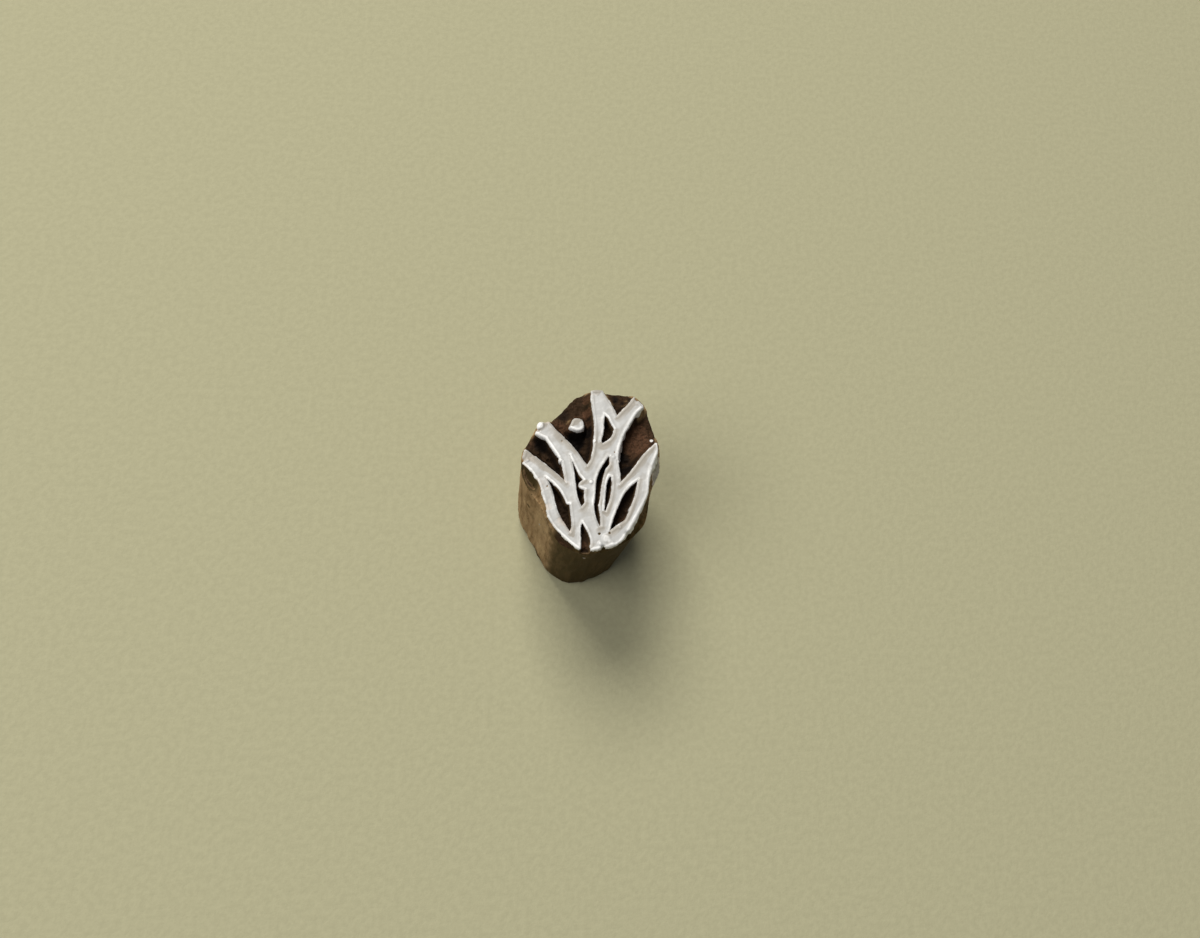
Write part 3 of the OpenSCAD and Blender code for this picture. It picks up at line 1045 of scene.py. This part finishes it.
@dataclass
class CarvedWood:
    """The block of wood as one closed skin: the carved top, the whittled side and the worn foot."""

    relief: Relief
    columns: int = 400
    rows: int = 96
    foot_rows: int = 7
    foot_round: float = 1.4
    rim_samples: int = 2000
    smoothing: tuple[int, int] = (60, 190)
    plain_span: tuple[float, float] = (4.0, 36.0)
    lead_in: float = 0.25
    fade_end: float = 2.5
    inset: float = 0.06
    facets: Sequence[Ripple] = (Ripple(0.10, 5.0, 11), Ripple(0.035, 1.4, 12))
    knife_marks: Ripple = Ripple(0.014, 0.5, 13)
    foot_nicks: Ripple = Ripple(0.07, 4.0, 14)
    facet_stretch: float = 9.0
    knife_stretch: float = 14.0
    nick_stretch: float = 7.0
    nick_height: float = 3.0
    scoops: Sequence[Scoop] = (Scoop(-12.7, -1.9, 4.5, 1.8, -56.0), Scoop(-5.4, -14.5, 3.3, 1.3, -47.0))
    # where the south and east darken: partly staining and partly painted shade
    stain_and_shade_span: tuple[float, float] = (7.2, 14.2)
    stain_and_shade_bleed: Ripple = Ripple(1.1, 4.5, 61)
    east_pull: float = 0.28
    west_hold: float = 0.9
    west_edge: float = -3.5
    # reddish-brown places in the pockets; the three by the stem's west wall are partly its bare wood and
    # partly painted light on that wall
    warm_patches: Sequence[Patch] = patches(
        (9.6, 6.4, 4.6, 0.9), (9.6, 11.0, 2.8, 0.5), (-4.9, 8.9, 2.3, 0.7), (-2.9, 10.9, 1.7, 0.45),
        (-7.3, 9.6, 2.2, 0.55), (3.9, 15.8, 1.2, 0.5), (7.0, 15.3, 1.3, 0.2), (-0.9, 12.2, 1.4, 1.1),
        (-0.9, 15.0, 1.3, 1.0), (-0.8, 9.8, 1.1, 0.8), (6.5, -10.2, 1.3, 0.6), (-1.4, -15.4, 1.2, 0.8),
        (-11.8, 5.9, 1.0, 0.5),
    )
    olive_patches: Sequence[Patch] = patches(
        (-0.8, 14.0, 1.4, 0.35), (13.1, -2.3, 1.6, 0.9), (12.1, -6.5, 2.0, 0.7), (9.6, 14.6, 0.8, 0.9),
    )
    dark_patches: Sequence[Patch] = patches(
        (-3.1, 6.2, 2.4, 0.9), (-0.7, 7.9, 1.0, 0.8), (-10.2, 5.2, 2.2, 0.45), (5.0, 15.8, 1.2, 0.5),
        (6.9, 3.0, 1.8, 0.5), (7.3, 0.3, 1.5, 0.5), (-5.7, 11.8, 1.8, 0.35), (6.9, 14.8, 1.1, 0.6),
    )
    shade_spots: Sequence[Spot] = spots(
        (13.0, -4.0, 24.0, 8.0, 0.6, 3.0), (-8.0, -11.0, 40.0, 4.0, 0.35, 2.0),
        (-13.0, -1.2, 35.5, 1.1, 0.9, 2.4), (-12.2, -4.6, 29.5, 0.9, 0.9, 1.6),
        (-13.6, 2.0, 18.0, 1.2, 0.6, 2.0), (-8.4, -9.6, 2.0, 3.4, 0.9, 0.8),
    )
    # painted highlights where the west side catches the light, most near its south corner
    highlight_spots: Sequence[Spot] = spots(
        (-9.4, -8.6, 30.0, 4.2, 0.85, 3.2), (-8.6, -9.6, 12.0, 3.4, 0.8, 3.0),
        (-13.4, 3.0, 33.0, 3.0, 0.35, 2.4),
    )
    warm_spots: Sequence[Spot] = spots(
        (0.0, -16.5, 1.5, 6.0, 0.6, 0.8), (11.0, -10.2, 38.0, 1.6, 0.8, 1.6),
        (-9.0, -9.0, 26.0, 4.0, 0.3, 3.0),
    )

    def top_marks(self) -> Marks:
        """The stains, painted shade and painted shadows on top of the block.

        Returns:
            One number for each point of the grid, by name.
        """
        relief = self.relief
        points, share = relief.points, relief.pocket_share
        drop = relief.block.top - relief.heights
        # the dark patches are partly stains and partly painted shadows, as below the dot and along the left
        # pocket's upper wall
        stain_and_shadow = gather(self.dark_patches, points)
        scooped = gather(self.scoops, points) * relief.shoulder
        south = smooth_step(-points[:, 1], 9.5, 10.5)
        carved = np.maximum(share, 0.85 * scooped * south + 0.2 * scooped)
        carved = np.maximum(carved, np.minimum(1.7 * stain_and_shadow, 1.0))
        warm = gather(self.warm_patches, points) * relief.pocket + 0.5 * scooped * south
        # painted shade: the pockets darken with depth, on steep walls and in the narrow slits
        deep = 0.25 + 0.45 * relief.steep * smooth_step(drop, 0.8, 2.2) + 0.25 * relief.narrow
        dark = np.maximum(share * deep + stain_and_shadow * relief.pocket - 0.4 * warm, 0.0)
        olive = 0.55 * gather(self.olive_patches, points) + 1.7 * scooped * (1.0 - south)
        shade = np.where(relief.pocket, 0.0, 0.25 + 0.5 * scooped + 0.6 * self.turned(points))
        return {"carved": carved, "dark": dark, "warm": warm, "shade": shade,
                "olive": np.clip(olive, 0.0, 1.0), "pale": np.zeros(len(points))}

    def turned(self, points: np.ndarray) -> np.ndarray:
        """How far round to the south and east, where the block is darkened, partly by staining and partly by
        painted shade on the sides that face away from the lights.

        Args:
            points: points on top of the block or on its side.

        Returns:
            One number from 0 to 1 for each.
        """
        x, y = points[:, 0], points[:, 1]
        reach = self.east_pull * np.maximum(x, 0.0) - y - self.west_hold * np.maximum(self.west_edge - x, 0.0)
        up_grain = points * (1.0, 1.0, 0.22)[:points.shape[1]]
        reach += smooth_step(x, 0.0, 6.0) * self.stain_and_shade_bleed.weigh(up_grain)
        return smooth_step(reach, *self.stain_and_shade_span)

    def side_marks(self, points: np.ndarray, rim_height: np.ndarray, rim_stain: np.ndarray) -> Marks:
        """The stains, painted shade and painted highlight on one ring of the side.

        Args:
            points: the ring's points.
            rim_height: the height of the carved top's rim at each of them.
            rim_stain: how far the rim there is a pocket's, from 0 to 1.

        Returns:
            One number for each point, by name.
        """
        below = rim_height - points[:, 2]
        near_top = 1.0 - smooth_step(below, 0.2, 2.6)
        # painted shade along the foot of the side, by the floor
        under = 1.0 - smooth_step(points[:, 2], 0.1, 1.2)
        # darker on the south and east, in spots and below the rim: partly staining and partly painted shade
        shade = gather(self.shade_spots, points) + 1.05 * self.turned(points)
        shade = np.clip(shade + (0.12 + 0.5 * rim_stain) * near_top, 0.0, 1.0)
        warm = gather(self.warm_spots, points)
        carved = np.maximum(0.5 * warm, rim_stain * (1.0 - smooth_step(below, 0.0, 1.1)))
        # olive follows the painted shade, and pale carries the painted highlight
        return {"carved": carved, "dark": 0.2 * rim_stain * near_top, "warm": warm + 0.4,
                "shade": np.clip(shade + 0.5 * under, 0.0, 1.0),
                "olive": 0.35 * shade, "pale": gather(self.highlight_spots, points)}

    def smoothed_rims(self, turn: np.ndarray) -> list[np.ndarray]:
        """The block's outline with its corners worn, first a little and then a lot.

        Args:
            turn: where each column is, as a length along the rim.

        Returns:
            The two outlines, with one point for each column.
        """
        side = self.relief.block.side
        ring = np.vstack([side.start, side.start[:1]])
        dense = np.linspace(0.0, side.run[-1], self.rim_samples, endpoint=False)
        smooth = np.stack([np.interp(dense, side.run, ring[:, i]) for i in (0, 1)], axis=1)
        reach = np.append(dense, side.run[-1])
        rims = []
        for rounds in self.smoothing:
            for _ in range(rounds):
                smooth = (np.roll(smooth, 3, axis=0) + smooth * 2.0 + np.roll(smooth, -3, axis=0)) / 4.0
            closed = np.vstack([smooth, smooth[:1]])
            rims.append(np.stack([np.interp(turn, reach, closed[:, i]) for i in (0, 1)], axis=1))
        return rims

    def side_rings(self, turn: np.ndarray, rim_height: np.ndarray) -> list[np.ndarray]:
        """The rings of the side from its top down to the foot.

        Args:
            turn: where each column is, as a length along the rim.
            rim_height: the height of the carved top's rim at each column.

        Returns:
            One array of points for each ring.
        """
        side = self.relief.block.side
        ring = np.vstack([side.start, side.start[:1]])
        exact = np.stack([np.interp(turn, side.run, ring[:, i]) for i in (0, 1)], axis=1)
        base, plain = self.smoothed_rims(turn)
        along = np.roll(base, -1, axis=0) - np.roll(base, 1, axis=0)
        outward = unit_rows(np.stack([along[:, 1], -along[:, 0]], axis=1))
        rings = []
        for row in range(self.rows + self.foot_rows):
            if row < self.rows:
                high = rim_height - self.lead_in
                z = high + (self.foot_round - high) * (row / (self.rows - 1))
                draw = np.zeros(len(turn))
            else:
                angle = 0.5 * math.pi * (row - self.rows + 1) / self.foot_rows
                z = np.full(len(turn), self.foot_round * (1.0 - math.sin(angle)))
                draw = np.full(len(turn), self.foot_round * (1.0 - math.cos(angle)))
            fade = smooth_step(rim_height - z, self.lead_in, self.fade_end)
            swell = gather(self.facets, np.column_stack([base, z / self.facet_stretch]))
            swell += self.knife_marks.weigh(np.column_stack([base, z / self.knife_stretch]))
            nicks = np.abs(self.foot_nicks.weigh(np.stack([turn, z / self.nick_stretch], axis=1)))
            swell -= nicks * (1.0 - smooth_step(z, 0.0, self.nick_height))
            low = (1.0 - smooth_step(z, *self.plain_span))[:, None]
            wall = base * (1.0 - low) + plain * low
            flat = exact * (1.0 - fade[:, None]) + wall * fade[:, None]
            push = (swell - self.inset) * fade - draw
            rings.append(np.column_stack([flat + outward * push[:, None], z]))
        return rings

    @staticmethod
    def zip_rings(upper: list[int], upper_turn: np.ndarray, lower: list[int], lower_turn: np.ndarray,
                  length: float) -> list[Face]:
        """Joins two rings that have different numbers of points and both start near turn 0.

        Args:
            upper: the upper ring's points.
            upper_turn: where they are, as lengths along the rim.
            lower: the lower ring's points.
            lower_turn: where they are.
            length: the length of the rim.

        Returns:
            The triangles between the rings.
        """
        faces = []
        i = j = 0
        while i < len(upper) or j < len(lower):
            next_upper = upper_turn[i + 1] if i + 1 < len(upper) else upper_turn[0] + length
            next_lower = lower_turn[j + 1] if j + 1 < len(lower) else lower_turn[0] + length
            a, b = upper[i % len(upper)], lower[j % len(lower)]
            if j >= len(lower) or (i < len(upper) and next_upper <= next_lower):
                faces.append((a, upper[(i + 1) % len(upper)], b))
                i += 1
            else:
                faces.append((a, lower[(j + 1) % len(lower)], b))
                j += 1
        return faces

    def rim_loop(self, faces: list[Face]) -> tuple[list[int], np.ndarray]:
        """Puts the top's outer points in order along the rim.

        Args:
            faces: the top's faces.

        Returns:
            The numbers of the points, and their places as lengths along the rim.
        """
        side = self.relief.block.side
        outer = np.array(sorted({i for edge in open_edges(faces) for i in edge}))
        _, foot, edge = side.nearest(self.relief.points[outer])
        turn = side.run[edge] + np.linalg.norm(foot - side.start[edge], axis=1)
        order = np.argsort(turn)
        return outer[order].tolist(), turn[order]

    def build(self, material: bpy.types.Material) -> bpy.types.Object:
        """Makes the block.

        Args:
            material: the wood's material.

        Returns:
            The finished piece.
        """
        relief = self.relief
        builder = MeshBuilder()
        builder.add_points(relief.places, self.top_marks())
        builder.faces = relief.cells(relief.kind)
        loop, turn = self.rim_loop(builder.faces)
        length = float(relief.block.side.run[-1])
        columns = np.linspace(0.0, length, self.columns, endpoint=False)
        wrapped = np.concatenate([turn - length, turn, turn + length])
        rim_height = np.interp(columns, wrapped, np.tile(relief.heights[loop], 3))
        rim_stain = np.interp(columns, wrapped, np.tile(relief.pocket_share[loop], 3))
        rings = self.side_rings(columns, rim_height)
        starts = [builder.add_points(ring, self.side_marks(ring, rim_height, rim_stain)) for ring in rings]
        first = list(range(starts[0], starts[0] + self.columns))
        under = tuple(range(starts[-1], starts[-1] + self.columns))
        faces = self.zip_rings(loop, turn, first, columns, length)
        for high, low in zip(starts, starts[1:]):
            for i in range(self.columns):
                j = (i + 1) % self.columns
                faces.append((high + i, high + j, low + j, low + i))
        builder.faces += self.oriented(faces + [under], np.concatenate(builder.points))
        return hand_over(builder.make("carved_wood", material), ["carved_block"])

    @staticmethod
    def oriented(faces: list[Face], points: np.ndarray) -> list[Face]:
        """Turns faces so that they look away from the middle of the block.

        Args:
            faces: the faces.
            points: the places of all points.

        Returns:
            The faces, each as it was or the other way round.
        """
        heart = np.array([0.0, 0.0, points[:, 2].mean()])
        turned = []
        for face in faces:
            corners = points[list(face)]
            normal = np.zeros(3)
            for a, b in zip(corners, np.roll(corners, -1, axis=0)):
                normal += np.cross(a - heart, b - heart)
            turned.append(face if normal @ (corners.mean(axis=0) - heart) >= 0.0 else face[::-1])
        return turned


@dataclass
class PaintCoat:
    """The dried paint on the carved top: over the tuft, over the dot and down the right shoulder."""

    relief: Relief
    thickness: float = 0.20
    skin: float = 0.05
    sink: float = 0.45
    settle: float = 0.02
    least_thickness: float = 0.02
    margin: float = 0.02
    tuck: float = 0.7
    feather: float = 0.28
    feather_power: float = 0.75
    wrap: tuple[float, float] = (0.42, 1.05)
    slit_wrap: float = 0.42
    slit_rough: float = 0.15
    least_wrap: float = 0.24
    pit_depth: float = 3.0
    # the way the paint wraps deeper, and is whiter partly as a painted highlight
    thick_and_lit_way: tuple[float, float] = (0.30, -0.95)
    rim_width: tuple[float, float] = (0.22, 0.58)
    rim_white: tuple[float, float] = (0.60, 0.94)
    wall_white: tuple[float, float] = (0.50, 0.88)
    bead_height: float = 0.055
    bead_place: float = 0.24
    bead_width: float = 0.20
    run_thickness: float = 0.6
    # greys the run all over as painted shade, where it lies in shadow on the east shoulder
    run_grey: float = 0.9
    run_spread: tuple[float, float] = (1.25, 1.1)
    run_slope: float = 0.9
    dot: Patch = Patch(-3.1, 8.9, 2.2)
    wrap_rough: Sequence[Ripple] = (Ripple(0.11, 2.3, 21), Ripple(0.02, 0.8, 22))
    body_swell: Sequence[Ripple] = (Ripple(0.012, 2.2, 23), Ripple(0.003, 0.7, 24))
    run_rough: Sequence[Ripple] = (Ripple(0.12, 1.3, 31), Ripple(0.02, 0.5, 32))
    smears: Sequence[Patch] = patches(
        (5.9, 2.6, 1.6, 1.5), (5.8, 4.6, 1.2, 1.2), (9.2, 12.1, 1.1, 1.7), (6.2, 6.8, 0.9, 0.8),
        (-1.9, -3.6, 0.9, 1.5), (3.3, -0.2, 0.8, 1.1), (7.2, -8.0, 1.0, 1.1), (12.8, 1.5, 2.2, 0.7),
        (13.0, 4.2, 1.2, 0.5), (7.5, -12.8, 2.4, 0.45), (3.2, -15.6, 2.0, 0.35),
    )
    clean: Sequence[Patch] = patches(
        (-12.5, -0.6, 2.6, 0.75), (-10.3, -3.6, 2.2, 0.6), (-9.0, -7.5, 2.4, 0.3), (-6.6, -12.4, 2.6, 0.75),
        (-4.3, -15.3, 1.6, 0.6),
    )
    rubbed: Sequence[Patch] = patches(
        (-12.0, 2.0, 2.6, 0.5), (-9.0, 0.2, 2.4, 0.4), (-6.4, -1.9, 2.0, 0.3), (-6.4, 6.0, 2.2, 0.3),
        (-4.2, 3.6, 2.0, 0.25), (2.2, 4.9, 2.0, 0.4), (12.0, 4.6, 1.8, 0.5), (9.6, 1.9, 2.0, 0.35),
        (-5.6, -10.2, 1.8, 0.3), (2.0, -9.9, 2.2, 0.25), (-3.1, 9.1, 0.9, 0.5), (8.2, 12.6, 2.0, 0.3),
        (-9.6, 9.4, 1.6, 0.3), (-3.2, -13.9, 1.2, 0.35),
    )
    bumps: Sequence[Patch] = patches(
        (-0.3, -3.0, 0.6, 0.22), (2.8, -14.3, 1.15, 0.20), (3.7, -15.1, 0.8, 0.16), (1.5, -15.3, 0.5, 0.14),
        (-6.3, 1.3, 0.45, 0.2), (0.4, 5.5, 0.45, 0.2), (-10.5, 8.3, 0.95, 0.26), (5.4, -12.0, 0.5, 0.12),
        (-1.6, -16.2, 0.5, 0.12), (4.3, 2.2, 0.4, 0.12), (-12.9, 1.1, 0.5, 0.14),
    )
    pits: Sequence[Patch] = patches(
        (1.4, -13.4, 0.26, 1.4), (3.4, -13.2, 0.22, 1.2), (2.35, -16.05, 0.38, 1.6), (9.2, 14.8, 0.55, 1.2),
        (-6.1, 5.3, 0.14, 1.0), (4.4, 3.3, 0.12, 0.9), (-8.9, -4.1, 0.13, 1.0),
    )

    def __post_init__(self) -> None:
        """Works out how far below the printing face each point is, and how far it faces the side where the
        paint wraps deeper and is whiter, partly as a painted highlight.
        """
        self.drop = self.relief.block.top - self.relief.heights
        self.towards = self.relief.outward @ np.array(self.thick_and_lit_way)

    def cover(self) -> np.ndarray:
        """How far inside the paint the points of the grid are, up the slope.

        Returns:
            The distance for each point, below 0 where the wood is bare.
        """
        relief = self.relief
        points = relief.points
        reach = between(self.wrap, smooth_step(self.towards, -0.35, 0.75))
        reach = np.where(relief.narrow, self.slit_wrap, reach)
        reach += gather(self.wrap_rough, points) * np.where(relief.narrow, self.slit_rough, 1.0)
        reach += gather(self.smears, points) - gather(self.clean, points)
        return np.maximum(reach, self.least_wrap) - self.drop - self.pit_depth * gather(self.pits, points)

    def marks(self, cover: np.ndarray, least_grey: float) -> Marks:
        """How thick and white, how worn, and how thin the paint is, with a painted highlight and painted
        shade by the way each edge faces.

        Args:
            cover: how far inside the paint each point is.
            least_grey: how grey it is at least, all over; on the run this is painted shade.

        Returns:
            One number for each point, by name.
        """
        points = self.relief.points
        # whiter towards the south: partly thicker paint and partly a painted highlight
        thick = smooth_step(self.towards, -0.25, 0.6)
        inward = np.maximum(self.relief.to_face, 0.0)
        rim = 1.0 - smooth_step(inward / between(self.rim_width, thick), 0.25, 1.0)
        wall = smooth_step(self.drop, 0.06, 0.25) * (1.0 - 0.45 * smooth_step(self.drop, 0.25, 0.8))
        edge = np.maximum(between(self.rim_white, thick) * rim, between(self.wall_white, thick) * wall)
        edge = np.clip(edge + 3.0 * gather(self.bumps, points), 0.0, 1.0)
        # greyer inside the north-facing edges: partly worn paint and partly painted shade
        worn = 0.9 * (1.0 - smooth_step(inward, 0.2, 2.2)) * smooth_step(-self.towards, -0.2, 0.8)
        worn = np.clip(worn + gather(self.rubbed, points), 0.0, 1.0)
        return {"edge": edge * (1.0 - least_grey), "worn": np.maximum(worn, least_grey),
                "thin": 1.0 - smooth_step(cover, 0.05, 0.5)}

    def shell(self, name: str, cover: np.ndarray, thickness: np.ndarray, material: bpy.types.Material,
              nodes: Sequence[str], least_grey: float = 0.0) -> bpy.types.Object:
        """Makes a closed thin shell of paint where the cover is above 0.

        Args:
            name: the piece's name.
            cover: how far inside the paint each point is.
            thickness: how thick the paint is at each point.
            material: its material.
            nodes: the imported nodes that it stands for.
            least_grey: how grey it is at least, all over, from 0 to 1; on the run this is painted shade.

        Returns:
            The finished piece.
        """
        relief = self.relief
        swell = (cover / self.feather).clip(0.0, 1.0) ** self.feather_power
        rise = np.where(cover > 0.0, thickness * swell, np.maximum(self.tuck * cover, -self.sink))
        taken = spread((cover > -self.margin).reshape(relief.shape)).ravel() & relief.within
        cells = relief.cells(np.where(taken, Lie.INSIDE, Lie.OUTSIDE))
        builder = MeshBuilder()
        marks = self.marks(cover, least_grey)
        builder.add_points(relief.places + relief.normals * rise[:, None], marks)
        under = np.minimum(rise - self.least_thickness, -self.skin)
        count = builder.add_points(relief.places + relief.normals * under[:, None], marks)
        sides = [(b, a, a + count, b + count) for a, b in open_edges(cells)]
        builder.faces = cells + [tuple(i + count for i in reversed(face)) for face in cells] + sides
        return hand_over(builder.make(name, material), nodes)

    def build(self, material: bpy.types.Material) -> None:
        """Makes the paint over the tuft, over the dot and down the shoulder.

        Args:
            material: the paint's material.
        """
        points = self.relief.points
        cover = self.cover()
        by_dot = np.hypot(points[:, 0] - self.dot.x, points[:, 1] - self.dot.y) < self.dot.radius
        body = self.thickness + gather(self.body_swell, points)
        bead = self.bead_height * np.exp(-((self.relief.to_face - self.bead_place) / self.bead_width) ** 2)
        coat = body + bead + gather(self.bumps, points) - self.settle
        self.shell("tuft_coat", np.where(by_dot, -1.0, cover), coat, material, ["tuft_paint"])
        self.shell("dot_coat", np.where(by_dot, cover, -1.0), coat, material, ["dot_paint"])
        run = self.run_thickness * body
        self.shell("shoulder_run", self.run_cover(points), run, material, ["flank_paint_run"], self.run_grey)

    def run_cover(self, points: np.ndarray) -> np.ndarray:
        """How far inside the run down the right shoulder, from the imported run's own box.

        Args:
            points: the points of the grid.

        Returns:
            The distance for each point, below 0 outside the run.
        """
        low, high = (np.array(corner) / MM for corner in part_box("flank_paint_run"))
        middle, half = (low + high) / 2.0, (high - low) / 2.0
        across = (points[:, 0] - middle[0]) / (half[0] * self.run_spread[0])
        along = (points[:, 1] - middle[1]) / (half[1] * self.run_spread[1])
        inside = self.run_slope * (1.0 - np.hypot(across, along)) + gather(self.run_rough, points)
        return np.where(self.relief.shoulder, inside, -1.0)


@dataclass(frozen=True)
class Drop:
    """A dried drop of paint: where it is, its radius, how much taller than wide it is, and its seed.

    A drop on the side is placed by its angle round the block, in degrees, and its height. One on top is
    placed by its x and y.
    """

    part: Part
    place: tuple[float, float]
    radius: float
    stretch: float
    seed: int

    def sight(self) -> tuple[Vector, Vector, Vector, Vector]:
        """How the drop's place is looked at.

        Returns:
            A place well outside the wood, the way out of the wood, and the two ways across it.
        """
        far, up = 60.0, Vector((0.0, 0.0, 1.0))
        if self.part is Part.TOP:
            return Vector((*self.place, far)), up, Vector((1.0, 0.0, 0.0)), Vector((0.0, 1.0, 0.0))
        turn = math.radians(self.place[0])
        outward = Vector((math.cos(turn), math.sin(turn), 0.0))
        return outward * far + up * self.place[1], outward, Vector((-outward.y, outward.x, 0.0)), up


@dataclass
class Flecks:
    """Dried drops of paint on the sides of the block, dull, and on a pocket's floor by its rim, white."""

    wood: bpy.types.Object
    rings: int = 6
    spokes: int = 22
    thickness: float = 0.13
    settle: float = 0.02
    depth: float = 0.06
    ragged: float = 0.10
    drops: Sequence[Drop] = (
        Drop(Part.SIDE, (221.0, 28.4), 0.30, 1.2, 41),
        Drop(Part.SIDE, (267.0, 37.5), 0.32, 0.7, 42),
        Drop(Part.TOP, (12.6, 7.1), 0.36, 1.0, 43),
    )

    def build(self, material: bpy.types.Material) -> bpy.types.Object:
        """Makes the flecks as one piece of separate drops.

        Args:
            material: the paint's material.

        Returns:
            The finished piece.
        """
        mesh = self.wood.data
        tree = BVHTree.FromPolygons([v.co for v in mesh.vertices], [p.vertices for p in mesh.polygons])
        builder = MeshBuilder()
        for drop in self.drops:
            self.add(drop, builder, tree)
        return hand_over(builder.make("paint_spots", material), ["paint_flecks"])

    def add(self, drop: Drop, builder: MeshBuilder, tree: BVHTree) -> None:
        """Adds one low dome that lies on the wood.

        Args:
            drop: the drop.
            builder: what it is added to.
            tree: the wood's surface.
        """
        start, outward, across, up = drop.sight()
        turns = np.arange(self.spokes) * 2.0 * math.pi / self.spokes
        around = np.column_stack([np.cos(turns), np.sin(turns)])
        ragged = 1.0 + self.ragged * ripples(around, 0.9, drop.seed)
        outer, inner = [], []
        for ring in range(self.rings + 1):
            share = ring / self.rings
            rise = self.thickness * math.sqrt(1.0 - share * share) - self.settle
            for turn, rough in zip(turns, ragged):
                reach = drop.radius * share * rough
                aside = across * (reach * math.cos(turn)) + up * (reach * drop.stretch * math.sin(turn))
                hit, normal, _, _ = tree.ray_cast((start + aside) * MM, -outward)
                outer.append(hit / MM + normal * rise)
                inner.append(hit / MM - normal * self.depth)
        dull = 1.0 if drop.part is Part.SIDE else 0.0
        marks = {name: np.full(len(outer), value)
                 for name, value in (("edge", 1.0 - dull), ("worn", dull), ("thin", 0.2 * dull))}
        first = builder.add_points(np.array(outer), marks)
        second = builder.add_points(np.array(inner), marks)
        for ring in range(self.rings):
            for i in range(self.spokes):
                j = (i + 1) % self.spokes
                a, b = ring * self.spokes + i, ring * self.spokes + j
                c, d = a + self.spokes, b + self.spokes
                if ring == 0:
                    builder.faces += [(first, first + c, first + d), (second, second + d, second + c)]
                else:
                    builder.faces += [(first + a, first + c, first + d, first + b),
                                      (second + a, second + b, second + d, second + c)]
                if ring == self.rings - 1:
                    builder.faces.append((first + c, second + c, second + d, first + d))


@dataclass(frozen=True)
class Lamp:
    """A large soft square light: its name, its place, the length of its side, its power and its colour."""

    name: str
    place: Place
    size: float
    watts: float
    colour: Colour


@dataclass
class Studio:
    """The plain floor, the soft lights and the camera at the photograph's angle."""

    floor_size: float = 1600.0
    lamps: Sequence[Lamp] = (
        Lamp("window", (-500.0, 1250.0, 1950.0), 1000.0, 55.0, (1.0, 0.98, 0.94)),
        Lamp("side_window", (-1000.0, -200.0, 1600.0), 1100.0, 18.5, (1.0, 0.99, 0.97)),
    )
    lamp_aim: Place = (0.0, 0.0, 30.0)
    sky: Colour = (0.60, 0.62, 0.66)
    sky_strength: float = 0.21
    camera_place: Place = (-17.20, -47.04, 211.31)
    camera_across: Place = (0.9937414, -0.0000377, 0.1117049)
    camera_back: Place = (-0.1076009, -0.2688904, 0.9571416)
    focal_length: float = 26.22
    sensor: float = 36.0

    def build(self) -> None:
        """Makes the floor, the lights, the sky and the camera."""
        self.floor(PaleFloorFinish().build())
        for lamp in self.lamps:
            self.hang(lamp)
        self.sky_light()
        self.camera()

    def floor(self, material: bpy.types.Material) -> None:
        """Makes the floor.

        Args:
            material: its material.
        """
        half = self.floor_size * MM / 2.0
        mesh = bpy.data.meshes.new("floor")
        mesh.from_pydata([(-half, -half, 0.0), (half, -half, 0.0), (half, half, 0.0), (-half, half, 0.0)],
                         [], [(0, 1, 2, 3)])
        mesh.materials.append(material)
        floor = bpy.data.objects.new("floor", mesh)
        bpy.context.scene.collection.objects.link(floor)

    def hang(self, lamp: Lamp) -> None:
        """Hangs a light that faces the stamp.

        Args:
            lamp: the light.
        """
        data = bpy.data.lights.new(lamp.name, "AREA")
        data.size = lamp.size * MM
        data.energy = lamp.watts
        data.color = lamp.colour
        light = bpy.data.objects.new(lamp.name, data)
        light.location = Vector(lamp.place) * MM
        aim = Vector(self.lamp_aim) * MM - light.location
        light.rotation_euler = aim.to_track_quat("-Z", "Y").to_euler()
        bpy.context.scene.collection.objects.link(light)

    def sky_light(self) -> None:
        """Fills the shadows with an even pale light."""
        world = bpy.data.worlds.new("studio")
        world.use_nodes = True
        back = world.node_tree.nodes["Background"]
        back.inputs["Color"].default_value = (*self.sky, 1.0)
        back.inputs["Strength"].default_value = self.sky_strength
        bpy.context.scene.world = world

    def camera(self) -> None:
        """Sets the camera where the photograph was taken from."""
        back = np.array(self.camera_back) / np.linalg.norm(self.camera_back)
        across = np.array(self.camera_across)
        across -= (across @ back) * back
        across /= np.linalg.norm(across)
        turn = Matrix([list(across), list(np.cross(back, across)), list(back)]).transposed()
        data = bpy.data.cameras.new("camera")
        data.sensor_fit = "HORIZONTAL"
        data.sensor_width = self.sensor
        data.lens = self.focal_length
        data.clip_start, data.clip_end = 0.01, 10.0
        camera = bpy.data.objects.new("camera", data)
        camera.matrix_world = Matrix.Translation(Vector(self.camera_place) * MM) @ turn.to_4x4()
        bpy.context.scene.collection.objects.link(camera)
        bpy.context.scene.camera = camera


def main() -> None:
    """Builds the stage and the stamp."""
    logging.basicConfig(level=logging.INFO, format="%(name)s: %(message)s")
    bpy.context.scene.view_settings.view_transform = "Standard"
    Studio().build()
    block = PackedBlock(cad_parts["carved_block"])
    relief = Relief(block, spacing=0.13)
    wood = CarvedWood(relief).build(WoodFinish().build())
    paint = PaintFinish().build()
    PaintCoat(relief).build(paint)
    Flecks(wood).build(paint)


if __name__ == "__main__":
    main()
